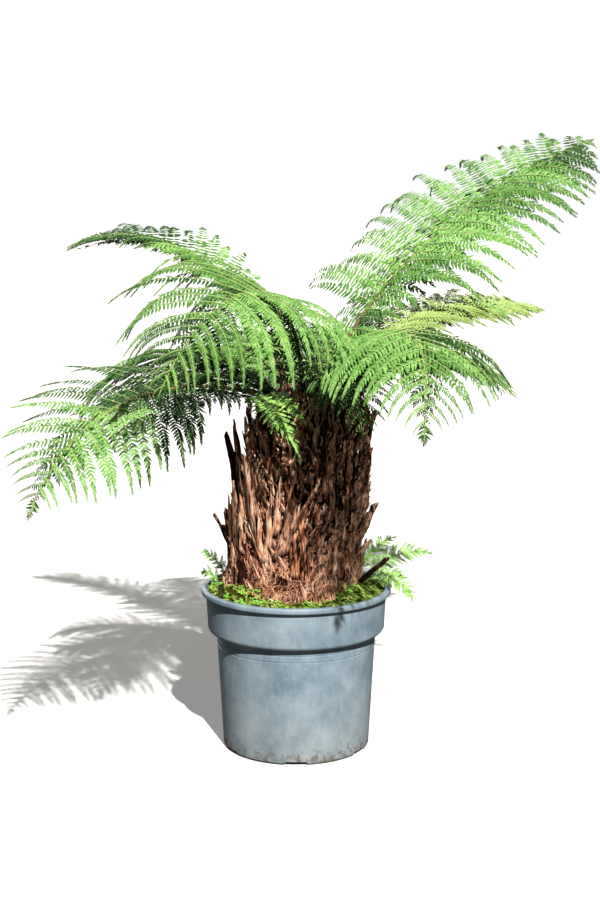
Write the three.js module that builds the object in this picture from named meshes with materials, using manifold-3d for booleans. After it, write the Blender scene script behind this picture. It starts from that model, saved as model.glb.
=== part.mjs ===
// A tree fern in its nursery pot: pot, compost, moss mat, shaggy trunk, fronds and a few seedling sprigs.
// Millimetres, +Z up, front towards -Y, origin at the middle of the pot's flat underside.
import * as THREE from 'three';
import * as BufferGeometryUtils from 'three/addons/utils/BufferGeometryUtils.js';
import Module from 'manifold-3d';

const wasm = await Module();
wasm.setup();

// Driving dimensions of the pot
const POT = {
  rimRadius: 200, height: 342, lipHeight: 12, wall: 3,
  collarTop: 190.5, collarBottom: 186.5, collarFoot: 254, shoulderFoot: 245,
  bodyTop: 168, bodyFoot: 154.5, floor: 4, footRound: 7,
  grooves: [235, 221], grooveDepth: 1.2, grooveHeight: 3,
  notches: 6, notchWidth: 48, notchHeight: 8, notchDepth: 14, sides: 32,
};
const GAP = 0.3;                 // running clearance between pieces that lie on each other
const CLEARANCE = 0.6;           // least distance that a leaflet keeps from another piece

// Driving dimensions of what fills the pot
const SOIL_LEVEL = 326;
const MAT = { bore: 60, edge: 5, crown: 11, bump: 2.5, trunkEase: 1.025 };

// Driving dimensions of the trunk, from the flat cut on the soil to the crown
const TRUNK = {
  foot: SOIL_LEVEL + GAP, top: 768, sides: 28, steps: 10,
  leanFoot: -16, leanTop: 40,    // the axis, as X, at the foot and at the top
  radii: [149, 140, 132, 131, 133, 129, 124, 119, 113, 101, 60],
  lobes: [[3, 0.030, 0.4], [5, 0.026, 2.1], [8, 0.018, 4.4]],    // count round, share of radius, phase
  windUp: 2,                     // how far the lobes wind round on the way up, in radians
};
const STUBS = {
  count: 26, firstHeight: 352, lastHeight: 640, turn: 137.5,
  length: 122, lengthSpread: 60, width: 14, widthSpread: 8, thickness: 8, proud: 3, lean: 5, leanSpread: 6,
};
// Old frond bases that stand out of the trunk's outline: compass angle, height of foot, length, lean
const LONG_STUBS = [
  { at: 184, foot: 520, length: 152, lean: 10, width: 9, thickness: 6 },
  { at: 196, foot: 560, length: 134, lean: 5, width: 9, thickness: 6 },
  { at: 176, foot: 420, length: 88, lean: 26, width: 8, thickness: 5 },
  { at: 186, foot: 430, length: 74, lean: 12, width: 6, thickness: 4 },
  { at: 356, foot: 590, length: 134, lean: 3, width: 10, thickness: 6 },
  { at: 2, foot: 440, length: 90, lean: 26, width: 12, thickness: 7 },
  { at: 350, foot: 402, length: 58, lean: 30, width: 6, thickness: 5 },
  { at: 344, foot: 352, length: 108, lean: 46, width: 8, thickness: 6 },
  { at: 226, foot: 350, length: 92, lean: 2, width: 15, thickness: 8 },
  { at: 250, foot: 338, length: 44, lean: 34, width: 9, thickness: 6 },
];

// Driving dimensions of the fronds. Angles in degrees: azimuth and sweep turn the midrib seen from above,
// rise and fall are its slope at the root and the tip, roll and twist turn the blade about the midrib.
const CROWN = new THREE.Vector3(22, 0, 735);
const FROND_STEPS = 60;
const FROND = {
  seat: 50, stalk: 92, ribFoot: 7.5, ribTip: 1.6, ribStep: 56, split: 0.46,
  firstLeaf: 0.13, lastLeaf: 0.97, spacing: 42, blade: 0.7, rootShare: 0.25, rootHold: 0.5,
  fullBlade: 60, bentLeaf: 190, curl: 0.25,
  roll: 0, twist: 0, droop: 0.4, lift: 6, fanIn: 84, fanOut: 46, taper: 1.5, widest: 0.52,
};
const FRONDS = [
  { name: 'frond_upper_right', azimuth: 52, sweep: -28, rise: 70, fall: 20, bend: 0.4, length: 990,
    roll: 5, twist: -34, leaf: 250, droop: 0.53, lift: 8, fanIn: 94, fanOut: 63, taper: 2.5, widest: 0.48 },
  { name: 'frond_front_left', azimuth: 263, sweep: -30, rise: 72, fall: -56, bend: 1.0, length: 800,
    roll: 21, twist: -2, leaf: 260, droop: 0.63, lift: 4, fanIn: 89, fanOut: 44, taper: 1.2, widest: 0.6 },
  { name: 'frond_low_left', azimuth: 212, sweep: 25, rise: 19, fall: -59, bend: 1.4, length: 718,
    roll: 11, twist: 28, leaf: 210, droop: 0.29, lift: -8, fanIn: 86, fanOut: 57, taper: 1.3, widest: 0.53 },
  { name: 'frond_front_right', azimuth: 307, sweep: -46, rise: 42, fall: -61, bend: 1.5, length: 778,
    roll: -12, twist: 22, leaf: 225, droop: 0.59, lift: -14,
    fanIn: 80, fanOut: 63, taper: 1.2, widest: 0.55 },
  { name: 'frond_upper_left', azimuth: 138, sweep: 16, rise: 73, fall: -21, bend: 1.0, length: 756,
    roll: 18, twist: 5, leaf: 136, droop: 0.48, lift: 9, fanIn: 83, fanOut: 40, taper: 3.2, widest: 0.44 },
  { name: 'frond_right', azimuth: 42, sweep: -27, rise: 62, fall: -11, bend: 0.6, length: 621,
    roll: -1, twist: -12, leaf: 160, droop: 0.35, lift: 9, fanIn: 72, fanOut: 50, taper: 1.6 },
];
// Lower and inner fronds that fill the crown behind and between the large ones, with fewer leaflets
const FILLER = { spacing: 52 };
const FILLERS = [
  { name: 'frond_back_right', azimuth: 78, sweep: -8, rise: 34, fall: -30, bend: 0.9,
    length: 720, leaf: 190 },
  { name: 'frond_back_left', azimuth: 102, sweep: 6, rise: 36, fall: -42, bend: 1.0,
    length: 730, leaf: 190 },
  { name: 'frond_left', azimuth: 172, sweep: 7, rise: 47, fall: -66, bend: 1.1,
    length: 515, leaf: 150, roll: -5, twist: 6, taper: 1.2 },
  { name: 'frond_far_right', azimuth: 350, sweep: -6, rise: 40, fall: -42, bend: 1.2,
    length: 420, leaf: 140 },
  { name: 'frond_inner_back', azimuth: 122, sweep: 3, rise: 41, fall: -46, bend: 1.0,
    length: 500, leaf: 150 },
  { name: 'frond_inner_left', azimuth: 193, sweep: -5, rise: 36, fall: -50, bend: 1.0,
    length: 450, leaf: 140 },
  { name: 'frond_inner_front', azimuth: 285, sweep: 3, rise: 52, fall: -74, bend: 1.2,
    length: 400, leaf: 120 },
  { name: 'frond_inner_right', azimuth: 14, sweep: -3, rise: 44, fall: -40, bend: 1.0,
    length: 430, leaf: 135 },
];
// Two young fronds that hang in front of the trunk
const YOUNG = {
  seat: 0, stalk: 55, ribFoot: 4, ribTip: 1, ribStep: 18, bend: 1,
  firstLeaf: 0.32, spacing: 28, blade: 0.5, leaf: 36, droop: 0.15, widest: 0.5,
};
const YOUNG_FRONDS = [
  { name: 'frond_young_low', root: new THREE.Vector3(-8, -48, 738),
    azimuth: 200, sweep: 184, rise: 29, fall: -79, length: 256 },
  { name: 'frond_young_front', root: new THREE.Vector3(4, -50, 742),
    azimuth: 207, sweep: 149, rise: 29, fall: -51, length: 191, leaf: 24 },
];
// Seedling sprigs that grow out of the moss at the trunk's foot
const SPRIG = {
  seat: 0, ribFoot: 1.6, ribTip: 0.7, ribStep: 15, bend: 1,
  firstLeaf: 0.25, spacing: 25, blade: 0.5, leaf: 24, droop: 0.2, widest: 0.55, fullBlade: 14, fanIn: 75,
};
const SPRIGS = [
  { name: 'sprig_right_long', root: new THREE.Vector3(142, 60, 333),
    azimuth: 349, sweep: 0, rise: 60, fall: -10, length: 178, leaf: 27 },
  { name: 'sprig_right_short', root: new THREE.Vector3(152, 34, 333),
    azimuth: 333, sweep: -2, rise: 60, fall: -30, length: 104, leaf: 20 },
  { name: 'sprig_right_low', root: new THREE.Vector3(157, 4, 333),
    azimuth: 334, sweep: -6, rise: 56, fall: -76, length: 128 },
  { name: 'sprig_right_back', root: new THREE.Vector3(135, 88, 333),
    azimuth: 10, sweep: 0, rise: 82, fall: 12, length: 134 },
  { name: 'sprig_left_back', root: new THREE.Vector3(-153, 80, 333),
    azimuth: 193, sweep: 7, rise: 84, fall: 17, length: 92 },
  { name: 'sprig_left_front', root: new THREE.Vector3(-162, 30, 333),
    azimuth: 201, sweep: 3, rise: 77, fall: -3, length: 60, leaf: 17, spacing: 16 },
];

const shades = {
  leaf: 0x5f9a3a, paleLeaf: 0x86b95a, bark: 0x6b3f2a, plastic: 0x6f7f8c, soil: 0x2c2018, moss: 0x7d8f3a,
};
const materialOf = (color, roughness) => new THREE.MeshStandardMaterial({ color, roughness, metalness: 0 });

const group = new THREE.Group();

function mergedTemplate(geometry) {
  geometry.deleteAttribute('normal');
  geometry.deleteAttribute('uv');
  return BufferGeometryUtils.mergeVertices(geometry, 1e-4);
}

function solidFrom(geometry) {
  const vertProperties = new Float32Array(geometry.attributes.position.array);
  const triVerts = new Uint32Array(geometry.index.array);
  return new wasm.Manifold(new wasm.Mesh({ numProp: 3, vertProperties, triVerts }));
}

// The largest closed skin of a solid: a sealed hollow is filled and a loose scrap dropped
const larger = (first, second) => (second.volume() > first.volume() ? second : first);
const wholeBody = (solid) => solid.decompose().reduce(larger);

function addNode(name, solid, color, roughness) {
  const { vertProperties, triVerts } = wholeBody(solid).getMesh();
  const geometry = new THREE.BufferGeometry();
  geometry.setAttribute('position', new THREE.BufferAttribute(new Float32Array(vertProperties), 3));
  geometry.setIndex(new THREE.BufferAttribute(new Uint32Array(triVerts), 1));
  geometry.computeVertexNormals();
  const mesh = new THREE.Mesh(geometry, materialOf(color, roughness));
  mesh.name = name;
  group.add(mesh);
}

// Numbers between 0 and 1 that look random but are the same each time
function seededRandom(seed) {
  let state = seed;
  return () => {
    state = (state * 1664525 + 1013904223) % 4294967296;
    return state / 4294967296;
  };
}

const mix = (a, b, share) => a + (b - a) * share;
const radians = THREE.MathUtils.degToRad;
const compass = (angle) => new THREE.Vector3(Math.cos(angle), Math.sin(angle), 0);

// A unit cylinder or cone, one high along Y, laid along frames: x goes to the frame's side, z to its face
const tubeTemplate = (sides, steps) => mergedTemplate(new THREE.CylinderGeometry(1, 1, 1, sides, steps));
const coneTemplate = (sides, steps) => mergedTemplate(new THREE.ConeGeometry(1, 1, sides, steps));

// A midrib has four sides, turned so that the leaflets' roots meet flat ones
const ribTemplate = (steps) => mergedTemplate(
  new THREE.CylinderGeometry(1, 1, 1, 4, steps, false, Math.PI / 4),
);

function laidAlong(template, frameAt) {
  const geometry = template.clone();
  const { position } = geometry.attributes;
  const vertex = new THREE.Vector3();
  for (let i = 0; i < position.count; i += 1) {
    vertex.fromBufferAttribute(position, i);
    const frame = frameAt(vertex.y + 0.5);
    const place = frame.point.clone()
      .addScaledVector(frame.side, vertex.x * frame.width)
      .addScaledVector(frame.face, vertex.z * frame.thickness);
    position.setXYZ(i, place.x, place.y, place.z);
  }
  return solidFrom(geometry);
}

function lathe(profile, sides) {
  const points = profile.map(([radius, z]) => new THREE.Vector2(radius, z));
  const geometry = mergedTemplate(new THREE.LatheGeometry(points, sides));
  geometry.rotateX(Math.PI / 2);
  return geometry;
}

const bodyRadius = (z) => mix(POT.bodyFoot, POT.bodyTop, z / POT.shoulderFoot);

// The inner side of the pot's wall, from under the lip to the middle of the floor
function potLining() {
  const { wall, floor } = POT;
  return [
    [POT.collarBottom - wall, POT.collarFoot + 2], [POT.bodyTop + 8, POT.collarFoot - 2],
    [POT.bodyTop - wall, POT.shoulderFoot + 1], [bodyRadius(floor) - wall, floor + 2],
    [bodyRadius(floor) - wall - 4, floor], [0, floor],
  ];
}

// The pot: tapered body, shoulder, wide collar and a rolled lip, with two grooves and drain notches
function potWall() {
  const { wall, height, lipHeight, rimRadius, footRound } = POT;
  const lipFoot = height - lipHeight;
  const outside = [[0, 0], [POT.bodyFoot - footRound, 0]];
  for (const turn of [30, 60, 90]) {
    outside.push([
      bodyRadius(footRound) - footRound + footRound * Math.sin(radians(turn)),
      footRound - footRound * Math.cos(radians(turn)),
    ]);
  }
  for (const z of [...POT.grooves].reverse()) {
    outside.push([bodyRadius(z - POT.grooveHeight / 2), z - POT.grooveHeight / 2]);
    outside.push([bodyRadius(z) - POT.grooveDepth, z]);
    outside.push([bodyRadius(z + POT.grooveHeight / 2), z + POT.grooveHeight / 2]);
  }
  outside.push([POT.bodyTop, POT.shoulderFoot], [POT.bodyTop + 11, POT.collarFoot - 4]);
  outside.push([POT.collarBottom, POT.collarFoot + 3], [POT.collarTop, lipFoot]);
  const lip = [
    [rimRadius - 2.5, lipFoot], [rimRadius, lipFoot + 2.5], [rimRadius, height - 3],
    [rimRadius - 3, height], [POT.collarTop + 1, height], [POT.collarTop - wall, height - 2.5],
  ];
  return lathe([...outside, ...lip, ...potLining()], POT.sides);
}

function pot() {
  let body = solidFrom(potWall());
  const notch = new THREE.BoxGeometry(POT.notchWidth, POT.notchDepth, 2 * POT.notchHeight);
  for (let i = 0; i < POT.notches; i += 1) {
    const placed = notch.clone();
    placed.translate(0, -(POT.bodyFoot - POT.notchDepth / 2 + 2), 0);
    placed.rotateZ((i * 2 * Math.PI) / POT.notches);
    body = body.subtract(solidFrom(mergedTemplate(placed)));
  }
  return body;
}

// The compost follows the lining, a little inside it, up to the soil level
function compost() {
  const ease = 1;
  const wallSide = potLining().slice(0, -1).reverse().map(([r, z]) => [r - ease, z + ease]);
  const [floorEdge] = wallSide;
  floorEdge[1] = POT.floor + GAP;
  const top = [POT.collarTop - POT.wall - 2 * ease, SOIL_LEVEL];
  return solidFrom(lathe([[0, POT.floor + GAP], ...wallSide, top, [0, SOIL_LEVEL]], POT.sides));
}

// The trunk: a leaning, flared column with lobes, old frond bases standing off it and living ones on top
const trunkAxis = (z) => mix(TRUNK.leanFoot, TRUNK.leanTop, (z - TRUNK.foot) / (TRUNK.top - TRUNK.foot));
const trunkProfile = new THREE.CatmullRomCurve3(
  TRUNK.radii.map((radius, i) => new THREE.Vector3(radius, i / (TRUNK.radii.length - 1), 0)),
);

function trunkRadius(angle, z) {
  const share = THREE.MathUtils.clamp((z - TRUNK.foot) / (TRUNK.top - TRUNK.foot), 0, 1);
  let wave = 1;
  for (const [count, size, phase] of TRUNK.lobes) {
    wave += size * Math.sin(count * angle + phase + TRUNK.windUp * share);
  }
  return trunkProfile.getPoint(share).x * wave;
}

function trunkColumn(ease = 1) {
  const geometry = tubeTemplate(TRUNK.sides, TRUNK.steps);
  const { position } = geometry.attributes;
  for (let i = 0; i < position.count; i += 1) {
    const z = mix(TRUNK.foot, TRUNK.top, position.getY(i) + 0.5);
    const reach = Math.hypot(position.getX(i), position.getZ(i));
    const angle = Math.atan2(-position.getZ(i), position.getX(i));
    const radius = reach * trunkRadius(angle, z) * ease;
    position.setXYZ(i, trunkAxis(z) + radius * Math.cos(angle), radius * Math.sin(angle), z);
  }
  return solidFrom(geometry);
}

const stubTemplate = tubeTemplate(4, 1);

function stub({ at, foot, length, lean, width, thickness, proud = 0 }) {
  const angle = radians(at);
  const out = compass(angle);
  const climb = out.clone().multiplyScalar(Math.sin(radians(lean))).setZ(Math.cos(radians(lean)));
  const side = new THREE.Vector3(Math.sin(angle), -Math.cos(angle), 0);
  const face = side.clone().cross(climb);
  const start = out.clone().multiplyScalar(trunkRadius(angle, foot) + proud - thickness * 0.6 - 2);
  start.x += trunkAxis(foot);
  start.z = foot;
  return laidAlong(stubTemplate, (share) => ({
    point: start.clone().addScaledVector(climb, share * length),
    side, face, width: width * (1 - 0.55 * share), thickness: thickness * (1 - 0.4 * share),
  }));
}

function oldStubs() {
  const random = seededRandom(9);
  const stubs = LONG_STUBS.map(stub);
  for (let i = 0; i < STUBS.count; i += 1) {
    stubs.push(stub({
      at: i * STUBS.turn + 8 * random(),
      foot: mix(STUBS.firstHeight, STUBS.lastHeight, i / STUBS.count),
      length: STUBS.length + STUBS.lengthSpread * (random() - 0.5),
      lean: STUBS.lean + STUBS.leanSpread * (random() - 0.5),
      width: STUBS.width + STUBS.widthSpread * random(),
      thickness: STUBS.thickness,
      proud: STUBS.proud * random(),
    }));
  }
  return stubs;
}

// The frond rule: the midrib's course as points and directions at equal steps
function midrib(frond) {
  const rib = { ...FROND, ...frond };
  const slopeAt = (share) => radians(mix(rib.rise, rib.fall, share ** rib.bend));
  const headingAt = (share) => radians(rib.azimuth + rib.sweep * share);
  const directionAt = (share) => compass(headingAt(share)).multiplyScalar(Math.cos(slopeAt(share)))
    .setZ(Math.sin(slopeAt(share)));
  const point = (rib.root ?? CROWN).clone().addScaledVector(compass(radians(rib.azimuth)), rib.seat);
  const frames = [];
  for (let i = 0; i <= FROND_STEPS; i += 1) {
    const share = i / FROND_STEPS;
    const along = directionAt(share);
    const level = new THREE.Vector3(Math.sin(headingAt(share)), -Math.cos(headingAt(share)), 0);
    const up = level.clone().cross(along);
    const turn = radians(rib.roll + rib.twist * share);
    frames.push({
      point: point.clone(), along,
      side: level.clone().multiplyScalar(Math.cos(turn)).addScaledVector(up, Math.sin(turn)),
      face: up.clone().multiplyScalar(Math.cos(turn)).addScaledVector(level, -Math.sin(turn)),
    });
    point.addScaledVector(directionAt((i + 0.5) / FROND_STEPS), rib.length / FROND_STEPS);
  }
  return { ...rib, frames };
}

function frameAt(rib, share) {
  const place = THREE.MathUtils.clamp(share, 0, 1) * FROND_STEPS;
  const low = Math.min(Math.floor(place), FROND_STEPS - 1);
  const [a, b] = [rib.frames[low], rib.frames[low + 1]];
  const blend = (key) => a[key].clone().lerp(b[key], place - low);
  return {
    point: blend('point'), along: blend('along').normalize(),
    side: blend('side').normalize(), face: blend('face').normalize(),
  };
}

const ribRadius = (rib, share) => mix(rib.ribFoot, rib.ribTip, share ** 0.8);

// A stretch of midrib as a slim tube; a living frond base is the same tube, thicker, fused to the trunk
function ribStretch(rib, from, to, steps, swell = 1) {
  return laidAlong(ribTemplate(steps), (u) => {
    const share = mix(from, to, u);
    const radius = ribRadius(rib, share) * swell;
    return { ...frameAt(rib, share), width: radius, thickness: radius };
  });
}

// How long a leaflet is, as a share of the longest, at a place along the midrib
function leafShare(rib, share) {
  if (share < rib.widest) {
    const climb = Math.max(0, (share - rib.firstLeaf) / (rib.widest - rib.firstLeaf));
    return mix(rib.rootShare, 1, Math.sin((Math.PI / 2) * climb) ** 0.9);
  }
  return 1 - 0.97 * ((share - rib.widest) / (1 - rib.widest)) ** rib.taper;
}

const LEAF_STEPS = 9;
const leafBreadth = (u) => (u < 0.3 ? u / 0.3 : Math.cos((Math.PI / 2) * (u - 0.3) / 0.7) ** 0.7);

// One leaflet: leaves the midrib at the fan angle, then bows under its weight
function leaflet(rib, share, hand, { length, extraDroop }) {
  const frame = frameAt(rib, share);
  const fan = radians(mix(rib.fanIn, rib.fanOut, share));
  const lift = radians(rib.lift);
  const start = frame.along.clone().multiplyScalar(Math.cos(fan))
    .addScaledVector(frame.side, hand * Math.cos(lift) * Math.sin(fan))
    .addScaledVector(frame.face, Math.sin(lift) * Math.sin(fan));
  const point = frame.point.clone();
  const course = [];
  for (let i = 0; i <= LEAF_STEPS; i += 1) {
    const u = (i + 0.5) / LEAF_STEPS;
    const sag = Math.min(0.95, (rib.droop + extraDroop) * u ** 1.2);
    const heading = start.clone().multiplyScalar(1 - sag).addScaledVector(frame.along, rib.curl * u);
    heading.z -= sag;
    course.push({ point: point.clone(), heading: heading.normalize() });
    point.addScaledVector(heading, length / LEAF_STEPS);
  }
  // The blade bows but never twists: one direction across it, square to the line from root to tip
  const run = point.sub(frame.point).normalize();
  const side = frame.along.clone().addScaledVector(run, -frame.along.dot(run));
  side.normalize().multiplyScalar(-hand);
  const breadth = (rib.blade * rib.spacing * Math.sin(fan)) / Math.sqrt(3);
  const steps = length > rib.bentLeaf ? 3 : 2;
  const root = ribRadius(rib, share) * rib.rootHold;
  return laidAlong(coneTemplate(3, steps), (u) => {
    const here = course[Math.round(u * LEAF_STEPS)];
    return {
      point: here.point, side, face: side.clone().cross(here.heading).normalize(),
      width: u === 0 ? root : breadth * Math.min(1, length / rib.fullBlade) * leafBreadth(u),
      thickness: u === 0 ? root : Math.max(0.8, 0.01 * length) * (1 - 0.5 * u),
    };
  });
}

function boxesMeet(a, b, margin) {
  const [first, second] = [a.boundingBox(), b.boundingBox()];
  const reaches = (low, high) => low - margin <= high;
  return [0, 1, 2].every((k) => reaches(first.min[k], second.max[k]) && reaches(second.min[k], first.max[k]));
}

const isClear = (solid, others, margin) => others.every(
  (other) => !boxesMeet(solid, other, margin) || solid.minGap(other, margin) >= margin,
);

// Ways to save a leaflet that would touch something: more or less droop, then shorter
const leafTries = [[0, 1], [0.25, 1], [-0.25, 1], [0.5, 0.95], [0, 0.75], [0.3, 0.7], [-0.3, 0.6], [0, 0.45]];

function leafStations(rib) {
  const run = (rib.lastLeaf - rib.firstLeaf) * rib.length;
  const count = Math.round(run / rib.spacing);
  return Array.from({ length: count }, (_, i) => mix(rib.firstLeaf, rib.lastLeaf, (i + 0.5) / count));
}

// A frond piece is a stretch of midrib that its leaflets are fused to, where they are clear of the rest
function planPiece(name, rib, from, to) {
  const steps = Math.max(4, Math.round(((to - from) * rib.length) / rib.ribStep));
  return { name, rib, from, to, solid: ribStretch(rib, from, to, steps) };
}

function addLeaflets(piece, others) {
  const { rib, from, to } = piece;
  for (const share of leafStations(rib).filter((place) => place > from && place < to)) {
    for (const hand of [1, -1]) {
      for (const [extraDroop, shorter] of leafTries) {
        const length = rib.leaf * leafShare(rib, share) * shorter;
        const blade = leaflet(rib, share, hand, { length, extraDroop });
        if (isClear(blade, others, CLEARANCE)) {
          piece.solid = piece.solid.add(blade);
          break;
        }
      }
    }
  }
}

// Each large frond is split where it bends, with a hair of clearance at the split and at the trunk
function splitPieces(rib) {
  const hair = GAP / rib.length;
  const stations = leafStations(rib);
  const next = stations.findIndex((share) => share > rib.split);
  const split = (stations[next - 1] + stations[next]) / 2;
  return [
    planPiece(`${rib.name}_inner`, rib, rib.stalk / rib.length + hair, split),
    planPiece(`${rib.name}_outer`, rib, split + hair, 1),
  ];
}

const ribs = [...FRONDS, ...FILLERS.map((frond) => ({ ...FILLER, ...frond }))].map(midrib);
const youngRibs = YOUNG_FRONDS.map((frond) => midrib({ ...YOUNG, ...frond }));
const sprigRibs = SPRIGS.map((sprig) => midrib({ ...SPRIG, ...sprig }));

function trunk() {
  let body = trunkColumn();
  for (const piece of oldStubs()) body = body.add(piece);
  for (const rib of [...ribs, ...youngRibs]) {
    body = body.add(ribStretch(rib, 0, rib.stalk / rib.length, 2, 1.35));
  }
  return body.trimByPlane([0, 0, 1], TRUNK.foot);
}

function mossMat() {
  const rim = POT.collarTop - POT.wall - 1.2;
  const foot = SOIL_LEVEL + GAP;
  const geometry = lathe([
    [MAT.bore, foot], [rim, foot], [rim, foot + MAT.edge], [rim - 18, foot + MAT.edge + 3],
    [rim - 48, foot + MAT.crown], [MAT.bore, foot + MAT.crown], [MAT.bore, foot],
  ], POT.sides);
  const { position } = geometry.attributes;
  for (let i = 0; i < position.count; i += 1) {
    const [x, y, z] = [position.getX(i), position.getY(i), position.getZ(i)];
    if (z > foot + 1) position.setZ(i, z + MAT.bump * Math.sin(x / 17) * Math.cos(y / 13));
  }
  return solidFrom(geometry).subtract(trunkColumn(MAT.trunkEase));
}

const mat = mossMat();
const trunkBody = trunk();
addNode('pot', pot(), shades.plastic, 0.5);
addNode('compost', compost(), shades.soil, 0.95);
addNode('trunk', trunkBody, shades.bark, 0.9);
addNode('moss_mat', mat, shades.moss, 0.95);

// A sprig's stem ends on the moss: what would stand in the mat is cut away with a little clearance
const matBelow = mat.translate([0, 0, GAP]);
function sprigPiece(rib) {
  const piece = planPiece(rib.name, rib, 0, 1);
  piece.solid = piece.solid.subtract(matBelow);
  return piece;
}

// All the midribs come first, then each takes its leaflets where they are clear of everything else
const pieces = [
  ...ribs.flatMap(splitPieces),
  ...youngRibs.map((rib) => planPiece(rib.name, rib, (rib.stalk + GAP) / rib.length, 1)),
  ...sprigRibs.map(sprigPiece),
];
for (const piece of pieces) {
  const others = pieces.filter((other) => other !== piece);
  addLeaflets(piece, [trunkBody, mat, ...others.map((other) => other.solid)]);
  addNode(piece.name, piece.solid, piece.rib.azimuth > 180 ? shades.paleLeaf : shades.leaf, 0.6);
}

export default group;
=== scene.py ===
import math

import bmesh
import bpy
import numpy as np
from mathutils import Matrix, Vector, noise


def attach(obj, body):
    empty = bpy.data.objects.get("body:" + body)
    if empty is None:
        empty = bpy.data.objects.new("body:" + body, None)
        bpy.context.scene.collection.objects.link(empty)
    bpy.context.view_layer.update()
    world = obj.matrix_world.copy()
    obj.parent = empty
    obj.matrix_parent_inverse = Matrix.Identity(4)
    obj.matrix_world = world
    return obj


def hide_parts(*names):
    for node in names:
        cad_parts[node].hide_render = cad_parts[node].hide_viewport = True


# A tree fern in a nursery pot. Metres, +Z up, front towards -Y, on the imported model's own axes.
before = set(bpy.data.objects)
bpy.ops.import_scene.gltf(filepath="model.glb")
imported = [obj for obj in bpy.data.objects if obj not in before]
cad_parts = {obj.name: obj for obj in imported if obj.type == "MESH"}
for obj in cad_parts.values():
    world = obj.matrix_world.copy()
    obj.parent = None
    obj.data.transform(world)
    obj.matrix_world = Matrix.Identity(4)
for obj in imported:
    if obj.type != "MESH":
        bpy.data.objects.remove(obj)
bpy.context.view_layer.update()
print("frame loaded:", len(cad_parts), "nodes")


# small helpers that every piece uses

def linearColour(hexCode):
    # an sRGB hex colour as the linear colour that shaders take
    channels = [int(hexCode[i:i + 2], 16) / 255 for i in (1, 3, 5)]
    return (*[c / 12.92 if c <= 0.04045 else ((c + 0.055) / 1.055) ** 2.4 for c in channels], 1.0)


def addNode(tree, kind, inputs=None, **settings):
    # one node with its settings: an input given as a socket is linked, and a hex colour is made linear
    node = tree.nodes.new(kind)
    for key, value in settings.items():
        setattr(node, key, value)
    for key, value in (inputs or {}).items():
        if isinstance(value, bpy.types.NodeSocket):
            tree.links.new(value, node.inputs[key])
        elif isinstance(value, str) and value.startswith("#"):
            node.inputs[key].default_value = linearColour(value)
        else:
            node.inputs[key].default_value = value
    return node


def addSocket(tree, name, kind, value=None, inOut="INPUT"):
    socket = tree.interface.new_socket(name=name, in_out=inOut, socket_type="NodeSocket" + kind)
    if value is not None:
        socket.default_value = value
    return socket


def meshPiece(name, points, faces, materials, faceMaterial=None, smooth=True, attributes=None):
    # a plain mesh object at the origin, with its place in its mesh
    mesh = bpy.data.meshes.new(name)
    mesh.from_pydata(np.asarray(points, float).tolist(), [], faces)
    for material in materials:
        mesh.materials.append(material)
    if faceMaterial is not None:
        mesh.polygons.foreach_set("material_index", np.asarray(faceMaterial, np.int32))
    mesh.polygons.foreach_set("use_smooth", [smooth] * len(mesh.polygons))
    for key, values in (attributes or {}).items():
        mesh.attributes.new(key, "FLOAT", "POINT").data.foreach_set("value", np.asarray(values, np.float32))
    mesh.update()
    piece = bpy.data.objects.new(name, mesh)
    bpy.context.scene.collection.objects.link(piece)
    return piece


hostAttributes = ("face", "breadth", "tone", "girth", "density")  # read by the node trees, then dropped


def grown(name, host, tree, values):
    # runs a geometry node tree on a host object and keeps the result as a plain mesh object
    modifier = host.modifiers.new(tree.name, "NODES")
    modifier.node_group = tree
    for item in tree.interface.items_tree:
        if item.item_type == "SOCKET" and item.in_out == "INPUT" and item.name in values:
            modifier[item.identifier] = values[item.name]
    depsgraph = bpy.context.evaluated_depsgraph_get()
    mesh = bpy.data.meshes.new_from_object(host.evaluated_get(depsgraph), depsgraph=depsgraph)
    mesh.name = name
    host.modifiers.remove(modifier)
    for key in [a.name for a in mesh.attributes if a.name in hostAttributes]:
        mesh.attributes.remove(mesh.attributes[key])
    piece = bpy.data.objects.new(name, mesh)
    bpy.context.scene.collection.objects.link(piece)
    return piece


def discard(*objects):
    for thing in objects:
        bpy.data.objects.remove(thing)


def finished(piece, slot, *nodes):
    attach(piece, "root")
    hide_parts(*nodes)
    return len(piece.data.loop_triangles) or sum(len(p.vertices) - 2 for p in piece.data.polygons)


def outward(piece):
    # turns every part of a mesh so that its faces point out
    shape = bmesh.new()
    shape.from_mesh(piece.data)
    bmesh.ops.recalc_face_normals(shape, faces=shape.faces)
    shape.to_mesh(piece.data)
    shape.free()
    return piece


def tubeFaces(rings, sides, caps=True):
    # quads between rings of points, and a cap at each end
    faces = []
    for i in range(rings - 1):
        for j in range(sides):
            k = (j + 1) % sides
            faces.append((i * sides + j, i * sides + k, (i + 1) * sides + k, (i + 1) * sides + j))
    if caps:
        faces.append(tuple(reversed(range(sides))))
        faces.append(tuple(range((rings - 1) * sides, rings * sides)))
    return faces


def mix(a, b, share):
    return a + (b - a) * share


def compass(angle):
    return np.stack([np.cos(angle), np.sin(angle), np.zeros_like(angle)], -1)


def unit(vectors):
    return vectors / np.linalg.norm(vectors, axis=-1, keepdims=True)


def bumps(points, size):
    # smooth noise from -1 to 1 at each point, with features of that size
    return np.array([noise.noise(Vector(p)) for p in np.asarray(points) / size])


# materials

def newMaterial(name, roughness, specular=0.5, ior=1.45):
    material = bpy.data.materials.new(name)
    material.use_nodes = True
    tree = material.node_tree
    tree.nodes.clear()
    shader = addNode(tree, "ShaderNodeBsdfPrincipled", {
        "Roughness": roughness, "Specular IOR Level": specular, "IOR": ior,
    })
    addNode(tree, "ShaderNodeOutputMaterial", {"Surface": shader.outputs["BSDF"]})
    place = addNode(tree, "ShaderNodeTexCoord").outputs["Object"]
    return material, tree, shader, place


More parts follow.
